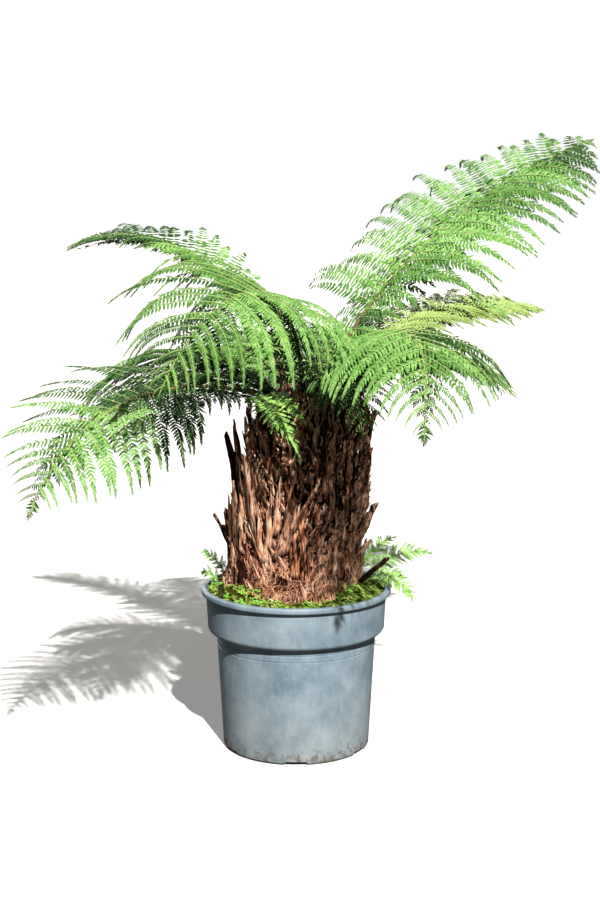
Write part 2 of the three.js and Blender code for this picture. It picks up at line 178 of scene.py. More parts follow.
def perMetre(millimetres):
    # a noise texture's scale for a pattern whose features are that far apart
    return 1000 / millimetres


def laidOver(tree, colour, layers):
    # lays colours over the first one, each as far as its value has gone from low to high
    for value, low, high, over in layers:
        share = addNode(tree, "ShaderNodeMapRange", {"Value": value, "From Min": low, "From Max": high})
        mixed = addNode(tree, "ShaderNodeMix", {0: share.outputs[0], 6: colour, 7: over}, data_type="RGBA")
        colour = mixed.outputs[2]
    return colour


def giveSkin(tree, shader, colour, height, strength, depth):
    # the shader's colour, and a fine relief of that depth in metres
    relief = addNode(tree, "ShaderNodeBump", {"Height": height, "Strength": strength, "Distance": depth})
    tree.links.new(colour, shader.inputs["Base Color"])
    tree.links.new(relief.outputs["Normal"], shader.inputs["Normal"])


# Leaf: a soft living blade with a thin wax film, so it has a broad, weak sheen
def leafMaterial(name, fresh, shaded, roughness=0.55):
    material, tree, shader, place = newMaterial(name, roughness, specular=0.22, ior=1.4)
    blotch = addNode(tree, "ShaderNodeTexNoise", {"Vector": place, "Scale": perMetre(18), "Detail": 3})
    speckle = addNode(tree, "ShaderNodeTexNoise", {"Vector": place, "Scale": perMetre(5), "Detail": 1})
    both = addNode(tree, "ShaderNodeMath", {0: blotch.outputs["Fac"], 1: speckle.outputs["Fac"]},
                   operation="ADD")
    colour = laidOver(tree, shaded, [(both.outputs[0], 0.8, 1.2, fresh)])
    giveSkin(tree, shader, colour, speckle.outputs["Fac"], 0.25, 0.0004)
    return material


# Stalk: a midrib that is brown and scaly at its foot, tan in the middle and green towards the tip
def stalkMaterial(name, foot, middle, tip, fleck):
    material, tree, shader, place = newMaterial(name, 0.55, specular=0.3)
    age = addNode(tree, "ShaderNodeAttribute", attribute_name="age").outputs["Fac"]
    flecks = addNode(tree, "ShaderNodeTexNoise", {"Vector": place, "Scale": perMetre(4), "Detail": 4})
    colour = laidOver(tree, tip, [
        (age, 0.1, 0.5, middle), (age, 0.6, 0.9, foot), (flecks.outputs["Fac"], 0.54, 0.68, fleck),
    ])
    giveSkin(tree, shader, colour, flecks.outputs["Fac"], 0.4, 0.0008)
    return material


# Bark fibre: dry frond bases and root fibre, dull, streaked lengthwise and split by dark cracks; real fibre
# is under a millimetre thick, too fine to show, so the streaks are drawn 2 to 3 mm wide
def fibreMaterial(name, dark, middle, light, streak=2.6, stretch=12, crack=0.40):
    material, tree, shader, place = newMaterial(name, 0.86, specular=0.18)
    turned = addNode(tree, "ShaderNodeMapping", {"Vector": place, "Scale": (1, 1, 1 / stretch)})
    streaks = addNode(tree, "ShaderNodeTexNoise", {
        "Vector": turned.outputs[0], "Scale": perMetre(streak), "Detail": 5, "Roughness": 0.65,
    })
    patches = addNode(tree, "ShaderNodeTexNoise", {"Vector": place, "Scale": perMetre(30), "Detail": 3})
    both = addNode(tree, "ShaderNodeMath", {
        0: patches.outputs["Fac"], 1: 0.75, 2: streaks.outputs["Fac"],
    }, operation="MULTIPLY_ADD")
    fibre = laidOver(tree, dark, [
        (both.outputs[0], 0.66, 0.88, middle), (both.outputs[0], 0.88, 1.04, light),
    ])
    cracks = addNode(tree, "ShaderNodeTexNoise", {
        "Vector": turned.outputs[0], "Scale": perMetre(2.2 * streak), "Detail": 3, "Roughness": 0.6,
        "Distortion": 0.4,
    })
    colour = laidOver(tree, "#080301", [(cracks.outputs["Fac"], crack, crack + 0.07, fibre)])
    giveSkin(tree, shader, colour, streaks.outputs["Fac"], 0.9, 0.0012)
    return material


# Moulded polypropylene, blue-grey: an even satin skin under a pale dust film, with grit specks on it and
# soil splashed on its foot
def pottedPlasticMaterial():
    material, tree, shader, place = newMaterial("mouldedPolypropyleneDusty", 0.5, specular=0.42, ior=1.49)
    film = addNode(tree, "ShaderNodeTexNoise", {
        "Vector": place, "Scale": perMetre(75), "Detail": 5, "Roughness": 0.6,
    })
    stretched = addNode(tree, "ShaderNodeMapping", {"Vector": place, "Scale": (1, 1, 0.3)})
    drips = addNode(tree, "ShaderNodeTexNoise", {
        "Vector": stretched.outputs[0], "Scale": perMetre(9), "Detail": 4,
    })
    grit = addNode(tree, "ShaderNodeTexVoronoi", {"Vector": place, "Scale": perMetre(9), "Randomness": 1.0})
    gritSize = addNode(tree, "ShaderNodeTexWhiteNoise", {"Vector": grit.outputs["Position"]},
                       noise_dimensions="3D")
    speckSize = addNode(tree, "ShaderNodeMath", {
        0: gritSize.outputs["Value"], 1: 0.16, 2: -0.05,
    }, operation="MULTIPLY_ADD")
    specks = addNode(tree, "ShaderNodeMath", {0: grit.outputs["Distance"], 1: speckSize.outputs[0]},
                     operation="LESS_THAN")
    height = addNode(tree, "ShaderNodeSeparateXYZ", {"Vector": place}).outputs["Z"]
    lowness = addNode(tree, "ShaderNodeMapRange", {
        "Value": height, "From Min": 0.17, "From Max": 0.0, "To Min": 0.0, "To Max": 0.55,
    })
    soil = addNode(tree, "ShaderNodeMath", {0: lowness.outputs[0], 1: film.outputs["Fac"]},
                   operation="MULTIPLY")
    splash = addNode(tree, "ShaderNodeTexNoise", {
        "Vector": place, "Scale": perMetre(13), "Detail": 6, "Roughness": 0.7,
    })
    footness = addNode(tree, "ShaderNodeMapRange", {
        "Value": height, "From Min": 0.065, "From Max": 0.0, "To Min": 0.0, "To Max": 0.3,
    })
    mud = addNode(tree, "ShaderNodeMath", {0: splash.outputs["Fac"], 1: footness.outputs[0]},
                  operation="ADD")
    colour = laidOver(tree, "#667c8c", [
        (film.outputs["Fac"], 0.3, 0.7, "#97a9b5"), (drips.outputs["Fac"], 0.5, 1.4, "#b0bcc3"),
        (soil.outputs[0], 0, 1, "#aeab9e"), (mud.outputs[0], 0.68, 0.9, "#66523c"),
        (specks.outputs[0], 0, 1, "#d8cfba"),
    ])
    giveSkin(tree, shader, colour, film.outputs["Fac"], 0.12, 0.0006)
    return material


# Potting compost: crumbs of peat and bark, nearly black where damp
def compostMaterial(name, dark, light):
    material, tree, shader, place = newMaterial(name, 0.95, specular=0.1)
    crumbs = addNode(tree, "ShaderNodeTexNoise", {
        "Vector": place, "Scale": perMetre(5), "Detail": 5, "Roughness": 0.7,
    })
    colour = laidOver(tree, dark, [(crumbs.outputs["Fac"], 0.42, 0.7, light)])
    giveSkin(tree, shader, colour, crumbs.outputs["Fac"], 1.0, 0.002)
    return material


# Moss: a close pile of tiny damp leaves, without any sheen, its green broken up by what lies under it
def mossMaterial(name, dark, light, patch=14):
    material, tree, shader, place = newMaterial(name, 0.9, specular=0.12)
    patches = addNode(tree, "ShaderNodeTexNoise", {
        "Vector": place, "Scale": perMetre(patch), "Detail": 5, "Roughness": 0.65,
    })
    colour = laidOver(tree, dark, [(patches.outputs["Fac"], 0.38, 0.64, light)])
    giveSkin(tree, shader, colour, patches.outputs["Fac"], 0.8, 0.0015)
    return material


leafSun = leafMaterial("fernLeafFresh", "#95c46f", "#578f3a")
leafMid = leafMaterial("fernLeafGreen", "#709f4d", "#3a6a2b")
# the deep green leaf is partly the leaves' own darker green and partly painted shade: it is dealt out most
# where the fronds lie in shade
leafDeepAndShade = leafMaterial("fernLeafDeepGreenAndShade", "#426d34", "#1b3c18")
leafPale = leafMaterial("fernLeafUnderside", "#b4cc80", "#8eab57", roughness=0.62)
leafYoung = leafMaterial("fernLeafYoung", "#b4e07d", "#7cb84d")
leafTones = [leafSun, leafMid, leafDeepAndShade, leafPale, leafYoung]
ribPale = stalkMaterial("leafletRib", "#b9c680", "#b9c680", "#a9c077", "#93a95f")
frondStalk = stalkMaterial("frondStalk", "#2c1b0f", "#8f7a48", "#9ea662", "#4a3720")
barkTan = fibreMaterial("dryFrondBaseTan", "#754630", "#dfa886", "#ffdabb")
barkRed = fibreMaterial("dryFrondBaseRed", "#2c1008", "#b3704c", "#f0b392", crack=0.43)
# the dark frond base is partly the old bases' own dark brown and partly painted shade, dealt most to plates
# on the shaded side of the trunk
barkDarkAndShade = fibreMaterial("dryFrondBaseDark", "#050201", "#2a120a", "#6d402a", crack=0.44)
# the pale frond base is near white: painted highlight, the flecks of sunlight on the trunk's torn splinters
barkPaleSunFleck = fibreMaterial("dryFrondBasePale", "#c38a68", "#ffd7b4", "#fff0de", crack=0.2)
# the trunk core's near-black is partly the matted root's own dark brown and partly painted shade, seen as
# deep gaps between the frond bases
barkCoreAndShade = fibreMaterial("mattedRootFibreAndShade", "#020100", "#100703", "#2c190f", streak=3.2)
fibrePale = fibreMaterial("rootFibrePale", "#9a684c", "#d9a484", "#fbd2b2", stretch=2, crack=0.2)
fibreRed = fibreMaterial("rootFibreRed", "#562818", "#a36241", "#d39270", stretch=2, crack=0.2)
fibreDark = fibreMaterial("rootFibreDark", "#120805", "#321b10", "#614029", stretch=2, crack=0.2)
hairGold = fibreMaterial("stalkHairGold", "#3a2010", "#6d4727", "#a1774a", stretch=2, crack=0.2)
plastic = pottedPlasticMaterial()
compostDark = compostMaterial("pottingCompost", "#0e0905", "#3b281a")
compostCrumb = compostMaterial("compostCrumb", "#241409", "#6e4f38")
mossBed = mossMaterial("mossBed", "#090903", "#474c18", patch=11)
mossBright = mossMaterial("mossTuftBright", "#7f9c33", "#d8e884")
mossDeep = mossMaterial("mossTuftDeep", "#374a14", "#7d9638")
cloverGreen = leafMaterial("cloverLeaf", "#97d156", "#5c9f33")
print("materials made")


# geometry node trees

def pinnuleTemplate():
    # one small leaf blade, a unit long along Y and a unit wide, toothed, folded along its rib
    rim = [(0.10, 0.0, 0.0), (0.47, 0.12, -0.04), (0.40, 0.25, -0.03), (0.50, 0.34, -0.06),
           (0.38, 0.47, -0.05), (0.42, 0.58, -0.08), (0.27, 0.69, -0.07), (0.26, 0.80, -0.10)]
    spine = [(0, 0, 0.03), (0, 0.28, 0.04), (0, 0.52, 0.02), (0, 0.76, -0.03), (0, 1.0, -0.13)]
    points = spine + rim + [(-x, y, z) for x, y, z in rim]
    faces = []
    for first, turned in ((5, False), (13, True)):
        edge = list(range(first, first + 8))
        half = [(0, edge[0], edge[1]), (0, edge[1], edge[2]), (0, edge[2], 1), (1, edge[2], edge[3]),
                (1, edge[3], edge[4]), (1, edge[4], 2), (2, edge[4], edge[5]), (2, edge[5], edge[6]),
                (2, edge[6], 3), (3, edge[6], edge[7]), (3, edge[7], 4)]
        faces += [tuple(reversed(f)) if turned else f for f in half]
    return hiddenTemplate("pinnuleTemplate", points, faces)


def smallPinnuleTemplate():
    # the plainer blade of a leaflet's tail and of the shortest leaflets
    points = [(0, 0, 0.02), (0, 0.5, 0.03), (0, 1.0, -0.12), (0.40, 0.16, -0.03), (0.42, 0.52, -0.06),
              (-0.40, 0.16, -0.03), (-0.42, 0.52, -0.06)]
    faces = [(0, 3, 1), (3, 4, 1), (1, 4, 2), (0, 1, 5), (5, 1, 6), (1, 2, 6)]
    return hiddenTemplate("smallPinnuleTemplate", points, faces)


def hiddenTemplate(name, points, faces):
    template = meshPiece(name, points, faces, [], smooth=False)
    template.hide_render = True
    return template


# how pinnules stray from even rows: angles in radians, the rest as shares
pinnuleHabit = {
    "spread": 0.13, "dip": 0.18, "rock": 0.28, "shortest": 0.88, "longest": 1.1, "slim": 0.62,
    "sweepFrom": 0.45, "narrowFrom": 0.72, "narrowTo": 0.46,
}


def pinnuleTree():
    # pinnules in two rows along every leaflet's rib
    tree = bpy.data.node_groups.new("pinnulesAlongRibs", "GeometryNodeTree")
    addSocket(tree, "Geometry", "Geometry")
    addSocket(tree, "Pinnule", "Object")
    addSocket(tree, "Small pinnule", "Object")
    addSocket(tree, "Small below", "Float", 0.0125)
    addSocket(tree, "Spacing", "Float", 0.0065)
    addSocket(tree, "Breadth of one", "Float", 1.0)
    addSocket(tree, "Sweep at root", "Float", 1.12)
    addSocket(tree, "Sweep at tip", "Float", 0.16)
    addSocket(tree, "Cup", "Float", -0.2)
    addSocket(tree, "Seed", "Int", 1)
    for i in range(len(leafTones)):
        addSocket(tree, f"Tone {i}", "Material")
    addSocket(tree, "Geometry", "Geometry", inOut="OUTPUT")
    given = addNode(tree, "NodeGroupInput").outputs
    curve = addNode(tree, "GeometryNodeMeshToCurve", {"Mesh": given["Geometry"]})
    step = addNode(tree, "ShaderNodeMath", {0: given["Spacing"], 1: 0.5}, operation="MULTIPLY")
    points = addNode(tree, "GeometryNodeResampleCurve", {
        "Curve": curve.outputs[0], "Length": step.outputs[0],
    }, mode="LENGTH")
    along = addNode(tree, "GeometryNodeInputTangent").outputs[0]
    share = addNode(tree, "GeometryNodeSplineParameter").outputs["Factor"]
    face = addNode(tree, "GeometryNodeInputNamedAttribute", {"Name": "face"}, data_type="FLOAT_VECTOR")
    breadth = addNode(tree, "GeometryNodeInputNamedAttribute", {"Name": "breadth"}, data_type="FLOAT")
    turned = addNode(tree, "FunctionNodeAxesToRotation", {0: along, 1: face.outputs[0]},
                     primary_axis="Y", secondary_axis="Z")
    sweep = addNode(tree, "ShaderNodeMapRange", {
        "Value": share, "From Min": pinnuleHabit["sweepFrom"],
        "To Min": given["Sweep at root"], "To Max": given["Sweep at tip"],
    })
    number = addNode(tree, "GeometryNodeInputIndex").outputs[0]
    parity = addNode(tree, "ShaderNodeMath", {0: number, 1: 2.0}, operation="MODULO")
    even = addNode(tree, "FunctionNodeCompare", {0: parity.outputs[0], 1: 0.5},
                   data_type="FLOAT", operation="LESS_THAN")
    broad = addNode(tree, "FunctionNodeCompare", {0: breadth.outputs[0], 1: given["Small below"]},
                    data_type="FLOAT", operation="GREATER_EQUAL")
    slim = addNode(tree, "FunctionNodeBooleanMath", {0: broad.outputs[0]}, operation="NOT")
    spaced = addNode(tree, "FunctionNodeBooleanMath", {0: broad.outputs[0], 1: even.outputs[0]},
                     operation="AND")
    blades = [(given["Pinnule"], spaced.outputs[0], 1.0),
              (given["Small pinnule"], slim.outputs[0], pinnuleHabit["slim"])]
    merge = addNode(tree, "ShaderNodeMapRange", {
        "Value": share, "From Min": pinnuleHabit["narrowFrom"], "To Min": 1.0,
        "To Max": pinnuleHabit["narrowTo"],
    })
    wide = addNode(tree, "ShaderNodeMath", {0: given["Breadth of one"], 1: merge.outputs[0]},
                   operation="MULTIPLY")
    width = addNode(tree, "ShaderNodeMath", {0: given["Spacing"], 1: wide.outputs[0]}, operation="MULTIPLY")
    both = addNode(tree, "GeometryNodeJoinGeometry")
    doubled = addNode(tree, "ShaderNodeMath", {0: number, 1: 2.0}, operation="MULTIPLY").outputs[0]
    following = addNode(tree, "ShaderNodeMath", {0: doubled, 1: 1.0}, operation="ADD").outputs[0]
    side = {1.0: doubled, -1.0: following}
    for hand in (1.0, -1.0):
        spread = addNode(tree, "FunctionNodeRandomValue", {
            2: -pinnuleHabit["spread"], 3: pinnuleHabit["spread"], "Seed": given["Seed"],
        }, data_type="FLOAT")
        angle = addNode(tree, "ShaderNodeMath", {
            0: sweep.outputs[0], 1: hand, 2: spread.outputs[1],
        }, operation="MULTIPLY_ADD")
        turn = addNode(tree, "ShaderNodeCombineXYZ", {"Z": angle.outputs[0]})
        swept = addNode(tree, "FunctionNodeRotateRotation", {
            "Rotation": turned.outputs[0], "Rotate By": turn.outputs[0],
        }, rotation_space="LOCAL")
        dip = addNode(tree, "FunctionNodeRandomValue", {
            2: -pinnuleHabit["dip"], 3: pinnuleHabit["dip"], "Seed": given["Seed"],
        }, data_type="FLOAT")
        cup = addNode(tree, "ShaderNodeMath", {0: dip.outputs[1], 1: given["Cup"]}, operation="ADD")
        rock = addNode(tree, "FunctionNodeRandomValue", {
            2: -pinnuleHabit["rock"], 3: pinnuleHabit["rock"], "ID": side[hand], "Seed": 7,
        }, data_type="FLOAT")
        tip = addNode(tree, "ShaderNodeCombineXYZ", {"X": cup.outputs[0], "Y": rock.outputs[1]})
        cupped = addNode(tree, "FunctionNodeRotateRotation", {
            "Rotation": swept.outputs[0], "Rotate By": tip.outputs[0],
        }, rotation_space="LOCAL")
        vary = addNode(tree, "FunctionNodeRandomValue", {
            2: pinnuleHabit["shortest"], 3: pinnuleHabit["longest"], "Seed": given["Seed"],
        }, data_type="FLOAT")
        length = addNode(tree, "ShaderNodeMath", {0: breadth.outputs[0], 1: vary.outputs[1]},
                         operation="MULTIPLY")
        for blade, chosen, part in blades:
            shape = addNode(tree, "GeometryNodeObjectInfo", {"Object": blade})
            across = addNode(tree, "ShaderNodeMath", {0: width.outputs[0], 1: part}, operation="MULTIPLY")
            size = addNode(tree, "ShaderNodeCombineXYZ", {
                "X": across.outputs[0], "Y": length.outputs[0], "Z": length.outputs[0],
            })
            row = addNode(tree, "GeometryNodeInstanceOnPoints", {
                "Points": points.outputs[0], "Instance": shape.outputs["Geometry"], "Selection": chosen,
                "Rotation": cupped.outputs[0], "Scale": size.outputs[0],
            })
            tree.links.new(row.outputs[0], both.inputs[0])
    real = addNode(tree, "GeometryNodeRealizeInstances", {"Geometry": both.outputs[0]}).outputs[0]
    tone = addNode(tree, "GeometryNodeInputNamedAttribute", {"Name": "tone"}, data_type="INT")
    for i in range(len(leafTones)):
        mine = addNode(tree, "FunctionNodeCompare", {2: tone.outputs[0], 3: i},
                       data_type="INT", operation="EQUAL")
        real = addNode(tree, "GeometryNodeSetMaterial", {
            "Geometry": real, "Selection": mine.outputs[0], "Material": given[f"Tone {i}"],
        }).outputs[0]
    addNode(tree, "NodeGroupOutput", {0: real})
    return tree


def ribTree():
    # a slim tube along every leaflet's rib, tapering with the girth attribute
    tree = bpy.data.node_groups.new("tubesAlongRibs", "GeometryNodeTree")
    addSocket(tree, "Geometry", "Geometry")
    addSocket(tree, "Sides", "Int", 3)
    addSocket(tree, "Steps", "Int", 10)
    addSocket(tree, "Rise", "Float", 0.0007)
    addSocket(tree, "Skin", "Material")
    addSocket(tree, "Geometry", "Geometry", inOut="OUTPUT")
    given = addNode(tree, "NodeGroupInput").outputs
    face = addNode(tree, "GeometryNodeInputNamedAttribute", {"Name": "face"}, data_type="FLOAT_VECTOR")
    rise = addNode(tree, "ShaderNodeVectorMath", {0: face.outputs[0], 3: given["Rise"]}, operation="SCALE")
    raised = addNode(tree, "GeometryNodeSetPosition", {
        "Geometry": given["Geometry"], "Offset": rise.outputs[0],
    })
    curve = addNode(tree, "GeometryNodeMeshToCurve", {"Mesh": raised.outputs[0]})
    even = addNode(tree, "GeometryNodeResampleCurve", {
        "Curve": curve.outputs[0], "Count": given["Steps"],
    }, mode="COUNT")
    girth = addNode(tree, "GeometryNodeInputNamedAttribute", {"Name": "girth"}, data_type="FLOAT")
    ring = addNode(tree, "GeometryNodeCurvePrimitiveCircle", {"Resolution": given["Sides"], "Radius": 1.0})
    tube = addNode(tree, "GeometryNodeCurveToMesh", {
        "Curve": even.outputs[0], "Profile Curve": ring.outputs[0], "Scale": girth.outputs[0],
        "Fill Caps": True,
    })
    real = addNode(tree, "GeometryNodeRealizeInstances", {"Geometry": tube.outputs[0]})
    done = addNode(tree, "GeometryNodeSetMaterial", {
        "Geometry": real.outputs[0], "Material": given["Skin"],
    })
    addNode(tree, "NodeGroupOutput", {0: done.outputs[0]})
    return tree


def scatterTree():
    # copies of a small shape over a surface, their Z along its normal and their Y as nearly up as it goes
    tree = bpy.data.node_groups.new("scatterOnSurface", "GeometryNodeTree")
    addSocket(tree, "Geometry", "Geometry")
    addSocket(tree, "Shape", "Object")
    addSocket(tree, "Least spacing", "Float", 0.003)
    addSocket(tree, "Most per square metre", "Float", 10000.0)
    addSocket(tree, "Seed", "Int", 1)
    addSocket(tree, "Smallest", "Float", 0.5)
    addSocket(tree, "Largest", "Float", 1.0)
    addSocket(tree, "Lift", "Float", 0.0)
    addSocket(tree, "Lift spread", "Float", 0.3)
    addSocket(tree, "Spin spread", "Float", 3.14)
    addSocket(tree, "Finish", "Material")
    addSocket(tree, "Geometry", "Geometry", inOut="OUTPUT")
    given = addNode(tree, "NodeGroupInput").outputs
    density = addNode(tree, "GeometryNodeInputNamedAttribute", {"Name": "density"}, data_type="FLOAT")
    spots = addNode(tree, "GeometryNodeDistributePointsOnFaces", {
        "Mesh": given["Geometry"], "Distance Min": given["Least spacing"],
        "Density Max": given["Most per square metre"], "Density Factor": density.outputs[0],
        "Seed": given["Seed"],
    }, distribute_method="POISSON")
    upright = addNode(tree, "FunctionNodeAxesToRotation", {0: spots.outputs["Normal"], 1: (0, 0, 1)},
                      primary_axis="Z", secondary_axis="Y")
    turns = []
    for k, (middle, spread) in enumerate(((None, "Spin spread"), ("Lift", "Lift spread"))):
        low = addNode(tree, "ShaderNodeMath", {0: given[spread], 1: -1.0}, operation="MULTIPLY")
        drawn = addNode(tree, "FunctionNodeRandomValue", {
            2: low.outputs[0], 3: given[spread], "Seed": given["Seed"],
        }, data_type="FLOAT")
        whole = addNode(tree, "ShaderNodeMath", {0: drawn.outputs[1], 1: given[middle] if middle else 0.0},
                        operation="ADD")
        turns.append(addNode(tree, "ShaderNodeCombineXYZ", {"Z" if k == 0 else "X": whole.outputs[0]}))
    rotation = upright.outputs[0]
    for turn in turns:
        rotation = addNode(tree, "FunctionNodeRotateRotation", {
            "Rotation": rotation, "Rotate By": turn.outputs[0],
        }, rotation_space="LOCAL").outputs[0]
    size = addNode(tree, "FunctionNodeRandomValue", {
        2: given["Smallest"], 3: given["Largest"], "Seed": given["Seed"],
    }, data_type="FLOAT")
    shape = addNode(tree, "GeometryNodeObjectInfo", {"Object": given["Shape"]})
    copies = addNode(tree, "GeometryNodeInstanceOnPoints", {
        "Points": spots.outputs["Points"], "Instance": shape.outputs["Geometry"],
        "Rotation": rotation, "Scale": size.outputs[1],
    })
    real = addNode(tree, "GeometryNodeRealizeInstances", {"Geometry": copies.outputs[0]})
    done = addNode(tree, "GeometryNodeSetMaterial", {
        "Geometry": real.outputs[0], "Material": given["Finish"],
    })
    addNode(tree, "NodeGroupOutput", {0: done.outputs[0]})
    return tree


pinnulesAlongRibs = pinnuleTree()
tubesAlongRibs = ribTree()
scatterOnSurface = scatterTree()


# pot

pot = {
    "rimRadius": 0.200, "height": 0.342, "lipHeight": 0.012, "wall": 0.003,
    "collarTop": 0.1905, "collarBottom": 0.1865, "collarFoot": 0.254, "shoulderFoot": 0.245,
    "bodyTop": 0.168, "bodyFoot": 0.1545, "floor": 0.004, "footRound": 0.007,
    "shoulderRound": 0.010, "lipRound": 0.0048, "lipInnerRound": 0.0036, "lipFootRound": 0.003,
    "rings": (0.0095, 0.012, 0.03, 0.07, 0.12, 0.17, 0.205),
    "grooves": (0.221, 0.235), "grooveDepth": 0.0012, "grooveHeight": 0.003,
    "notches": 6, "notchWidth": 0.048, "notchHeight": 0.008, "notchDepth": 0.014, "segments": 192,
}


def arcPoints(r, z, radius, first, last, steps=6):
    # points of a round corner in the pot's profile, as (radius, height)
    turns = np.radians(np.linspace(first, last, steps))
    return [(r + radius * math.cos(t), z + radius * math.sin(t)) for t in turns]


def bodyRadius(z):
    return mix(pot["bodyFoot"], pot["bodyTop"], z / pot["shoulderFoot"])


def potProfile():
    # radius and height round the wall: up its outside, over the lip and down its inside
    lipFoot = pot["height"] - pot["lipHeight"]
    corner, half = pot["footRound"], pot["grooveHeight"] / 2
    lip, inner, under = pot["lipRound"], pot["lipInnerRound"], pot["lipFootRound"]
    profile = [(0.04, 0), (bodyRadius(corner) - corner - 0.004, 0)]
    profile += arcPoints(bodyRadius(corner) - corner, corner, corner, -90, 2)
    profile += [(bodyRadius(z), z) for z in pot["rings"]]
    for z in pot["grooves"]:
        for step, depth in ((-half, 0), (-half / 2, 0.9), (half / 2, 0.9), (half, 0)):
            profile.append((bodyRadius(z + step) - depth * pot["grooveDepth"], z + step))
    profile.append((pot["bodyTop"], pot["shoulderFoot"] - 0.001))
    shoulder = pot["shoulderRound"]
    profile += arcPoints(pot["collarBottom"] - shoulder, pot["collarFoot"] + 0.006, shoulder, -120, 0, 9)
    profile += [(pot["collarTop"] - 0.0006, lipFoot - 0.002), (pot["collarTop"] + 0.001, lipFoot)]
    profile += arcPoints(pot["rimRadius"] - under, lipFoot + under, under, -90, 0)
    profile += arcPoints(pot["rimRadius"] - lip, pot["height"] - lip, lip, 0, 90)
    profile += arcPoints(pot["collarTop"] + 0.0006, pot["height"] - inner, inner, 90, 165)
    profile += [
        (pot["collarBottom"] - pot["wall"], pot["collarFoot"] + 0.002),
        (pot["bodyTop"] + 0.008, pot["collarFoot"] - 0.002),
        (pot["bodyTop"] - pot["wall"], pot["shoulderFoot"] + 0.001),
        (bodyRadius(pot["floor"]) - pot["wall"], pot["floor"] + 0.002),
        (bodyRadius(pot["floor"]) - pot["wall"] - 0.004, pot["floor"]), (0.04, pot["floor"]),
    ]
    return np.array(profile)


def lathed(name, profile, segments, materials):
    angle = np.arange(segments) * 2 * np.pi / segments
    points = profile[:, None, :1] * compass(angle)[None] + profile[:, None, 1:] * np.array([0, 0, 1])
    return meshPiece(name, points.reshape(-1, 3), tubeFaces(len(profile), segments), materials)


def buildPot():
    piece = lathed("nurseryPot", potProfile(), pot["segments"], [plastic])
    for i in range(pot["notches"]):
        turn = -math.pi / 2 + i * 2 * math.pi / pot["notches"]
        out, side = compass(np.array(turn)), compass(np.array(turn + math.pi / 2))
        near, far = pot["bodyFoot"] - pot["notchDepth"] + 0.002, pot["bodyFoot"] + 0.01
        corners = []
        for reach in (near, far):
            for level, breadth in ((-0.004, 0.56), (pot["notchHeight"], 0.44)):
                for hand in (-1, 1):
                    beside = side * hand * breadth * pot["notchWidth"]
                    corners.append(out * reach + beside + np.array([0, 0, level]))
        cutter = outward(meshPiece("notchCutter", corners, [
            (0, 1, 3, 2), (4, 5, 7, 6), (0, 1, 5, 4), (2, 3, 7, 6), (0, 2, 6, 4), (1, 3, 7, 5),
        ], [plastic], smooth=False))
        cut = piece.modifiers.new("notch", "BOOLEAN")
        cut.operation = "DIFFERENCE"
        cut.solver = "EXACT"
        cut.object = cutter
        whole = bpy.data.meshes.new_from_object(piece.evaluated_get(bpy.context.evaluated_depsgraph_get()))
        piece.modifiers.remove(cut)
        piece.data = whole
        discard(cutter)
    piece.data.set_sharp_from_angle(angle=math.radians(35))
    return finished(piece, "pot", "pot")


print("pot made:", buildPot(), "triangles")


# trunk: a column of matted root, covered with the bases of old fronds

trunk = {
    "foot": 0.3263, "top": 0.768, "leanFoot": -0.016, "leanTop": 0.040, "columns": 240, "rows": 150,
    "radii": (0.149, 0.140, 0.132, 0.131, 0.133, 0.129, 0.124, 0.119, 0.113, 0.101, 0.060),
    "lobes": ((3, 0.030, 0.4), (5, 0.026, 2.1), (8, 0.018, 4.4)), "windUp": 2,
    "coreInset": 0.017, "plateWidth": 0.016, "plateHeight": 0.080, "gapDepth": 0.012,
    "fineRelief": 0.0016, "roughRelief": 0.0026,
}


def trunkAxis(z):
    return mix(trunk["leanFoot"], trunk["leanTop"], (z - trunk["foot"]) / (trunk["top"] - trunk["foot"]))


def trunkRadius(angle, z):
    share = np.clip((z - trunk["foot"]) / (trunk["top"] - trunk["foot"]), 0, 1)
    wave = 1
    for count, size, phase in trunk["lobes"]:
        wave = wave + size * np.sin(count * angle + phase + trunk["windUp"] * share)
    return np.interp(share, np.linspace(0, 1, len(trunk["radii"])), trunk["radii"]) * wave


def trunkPoint(angle, z, proud=0.0):
    radius = trunkRadius(angle, z) + proud
    return compass(angle) * radius[..., None] + np.stack([trunkAxis(z), 0 * z, z], -1)


def barkRelief(points):
    # long upright cells with deep gaps between them, roughened by fine fibre
    relief = []
    for x, y, z in points:
        bend = 0.010 * noise.noise(Vector((x, y, z)) / 0.06)
        across = ((x + bend) / trunk["plateWidth"], (y + bend) / trunk["plateWidth"])
        near = noise.voronoi(Vector((*across, z / trunk["plateHeight"])))[0]
        ridge = min(1.0, (near[1] - near[0]) / 0.35)
        fine = noise.noise(Vector((x / 0.004, y / 0.004, z / 0.03)))
        rough = noise.noise(Vector((x, y, z)) / 0.011)
        gap = -trunk["gapDepth"] * (1 - ridge) ** 1.5
        relief.append(gap + trunk["fineRelief"] * fine + trunk["roughRelief"] * rough)
    return np.array(relief)


# the core is finished near-black, partly as painted shade in the gaps between the frond bases
def buildCore():
    z = np.linspace(trunk["foot"], trunk["top"], trunk["rows"])[:, None]
    angle = (np.arange(trunk["columns"]) * 2 * np.pi / trunk["columns"])[None, :]
    z, angle = np.broadcast_arrays(z, angle)
    share = (z - trunk["foot"]) / (trunk["top"] - trunk["foot"])
    inset = -trunk["coreInset"] * np.clip((share - 0.02) / 0.22, 0, 1)
    surface = trunkPoint(angle, z, inset)
    relief = barkRelief(surface.reshape(-1, 3)).reshape(z.shape)
    relief = relief * np.clip((1 - share) / 0.05, 0, 1)
    points = trunkPoint(angle, z, inset + relief).reshape(-1, 3)
    return meshPiece("trunkCore", points, tubeFaces(trunk["rows"], trunk["columns"]), [barkCoreAndShade])


# where small pieces grow on the trunk: from a height, over how far that fades, and the least share
fibreZones = {"lowDown": (0.50, -0.12, 0.07), "higherUp": (0.34, 0.06, 0.45), "atCrown": (0.67, 0.05, 0)}


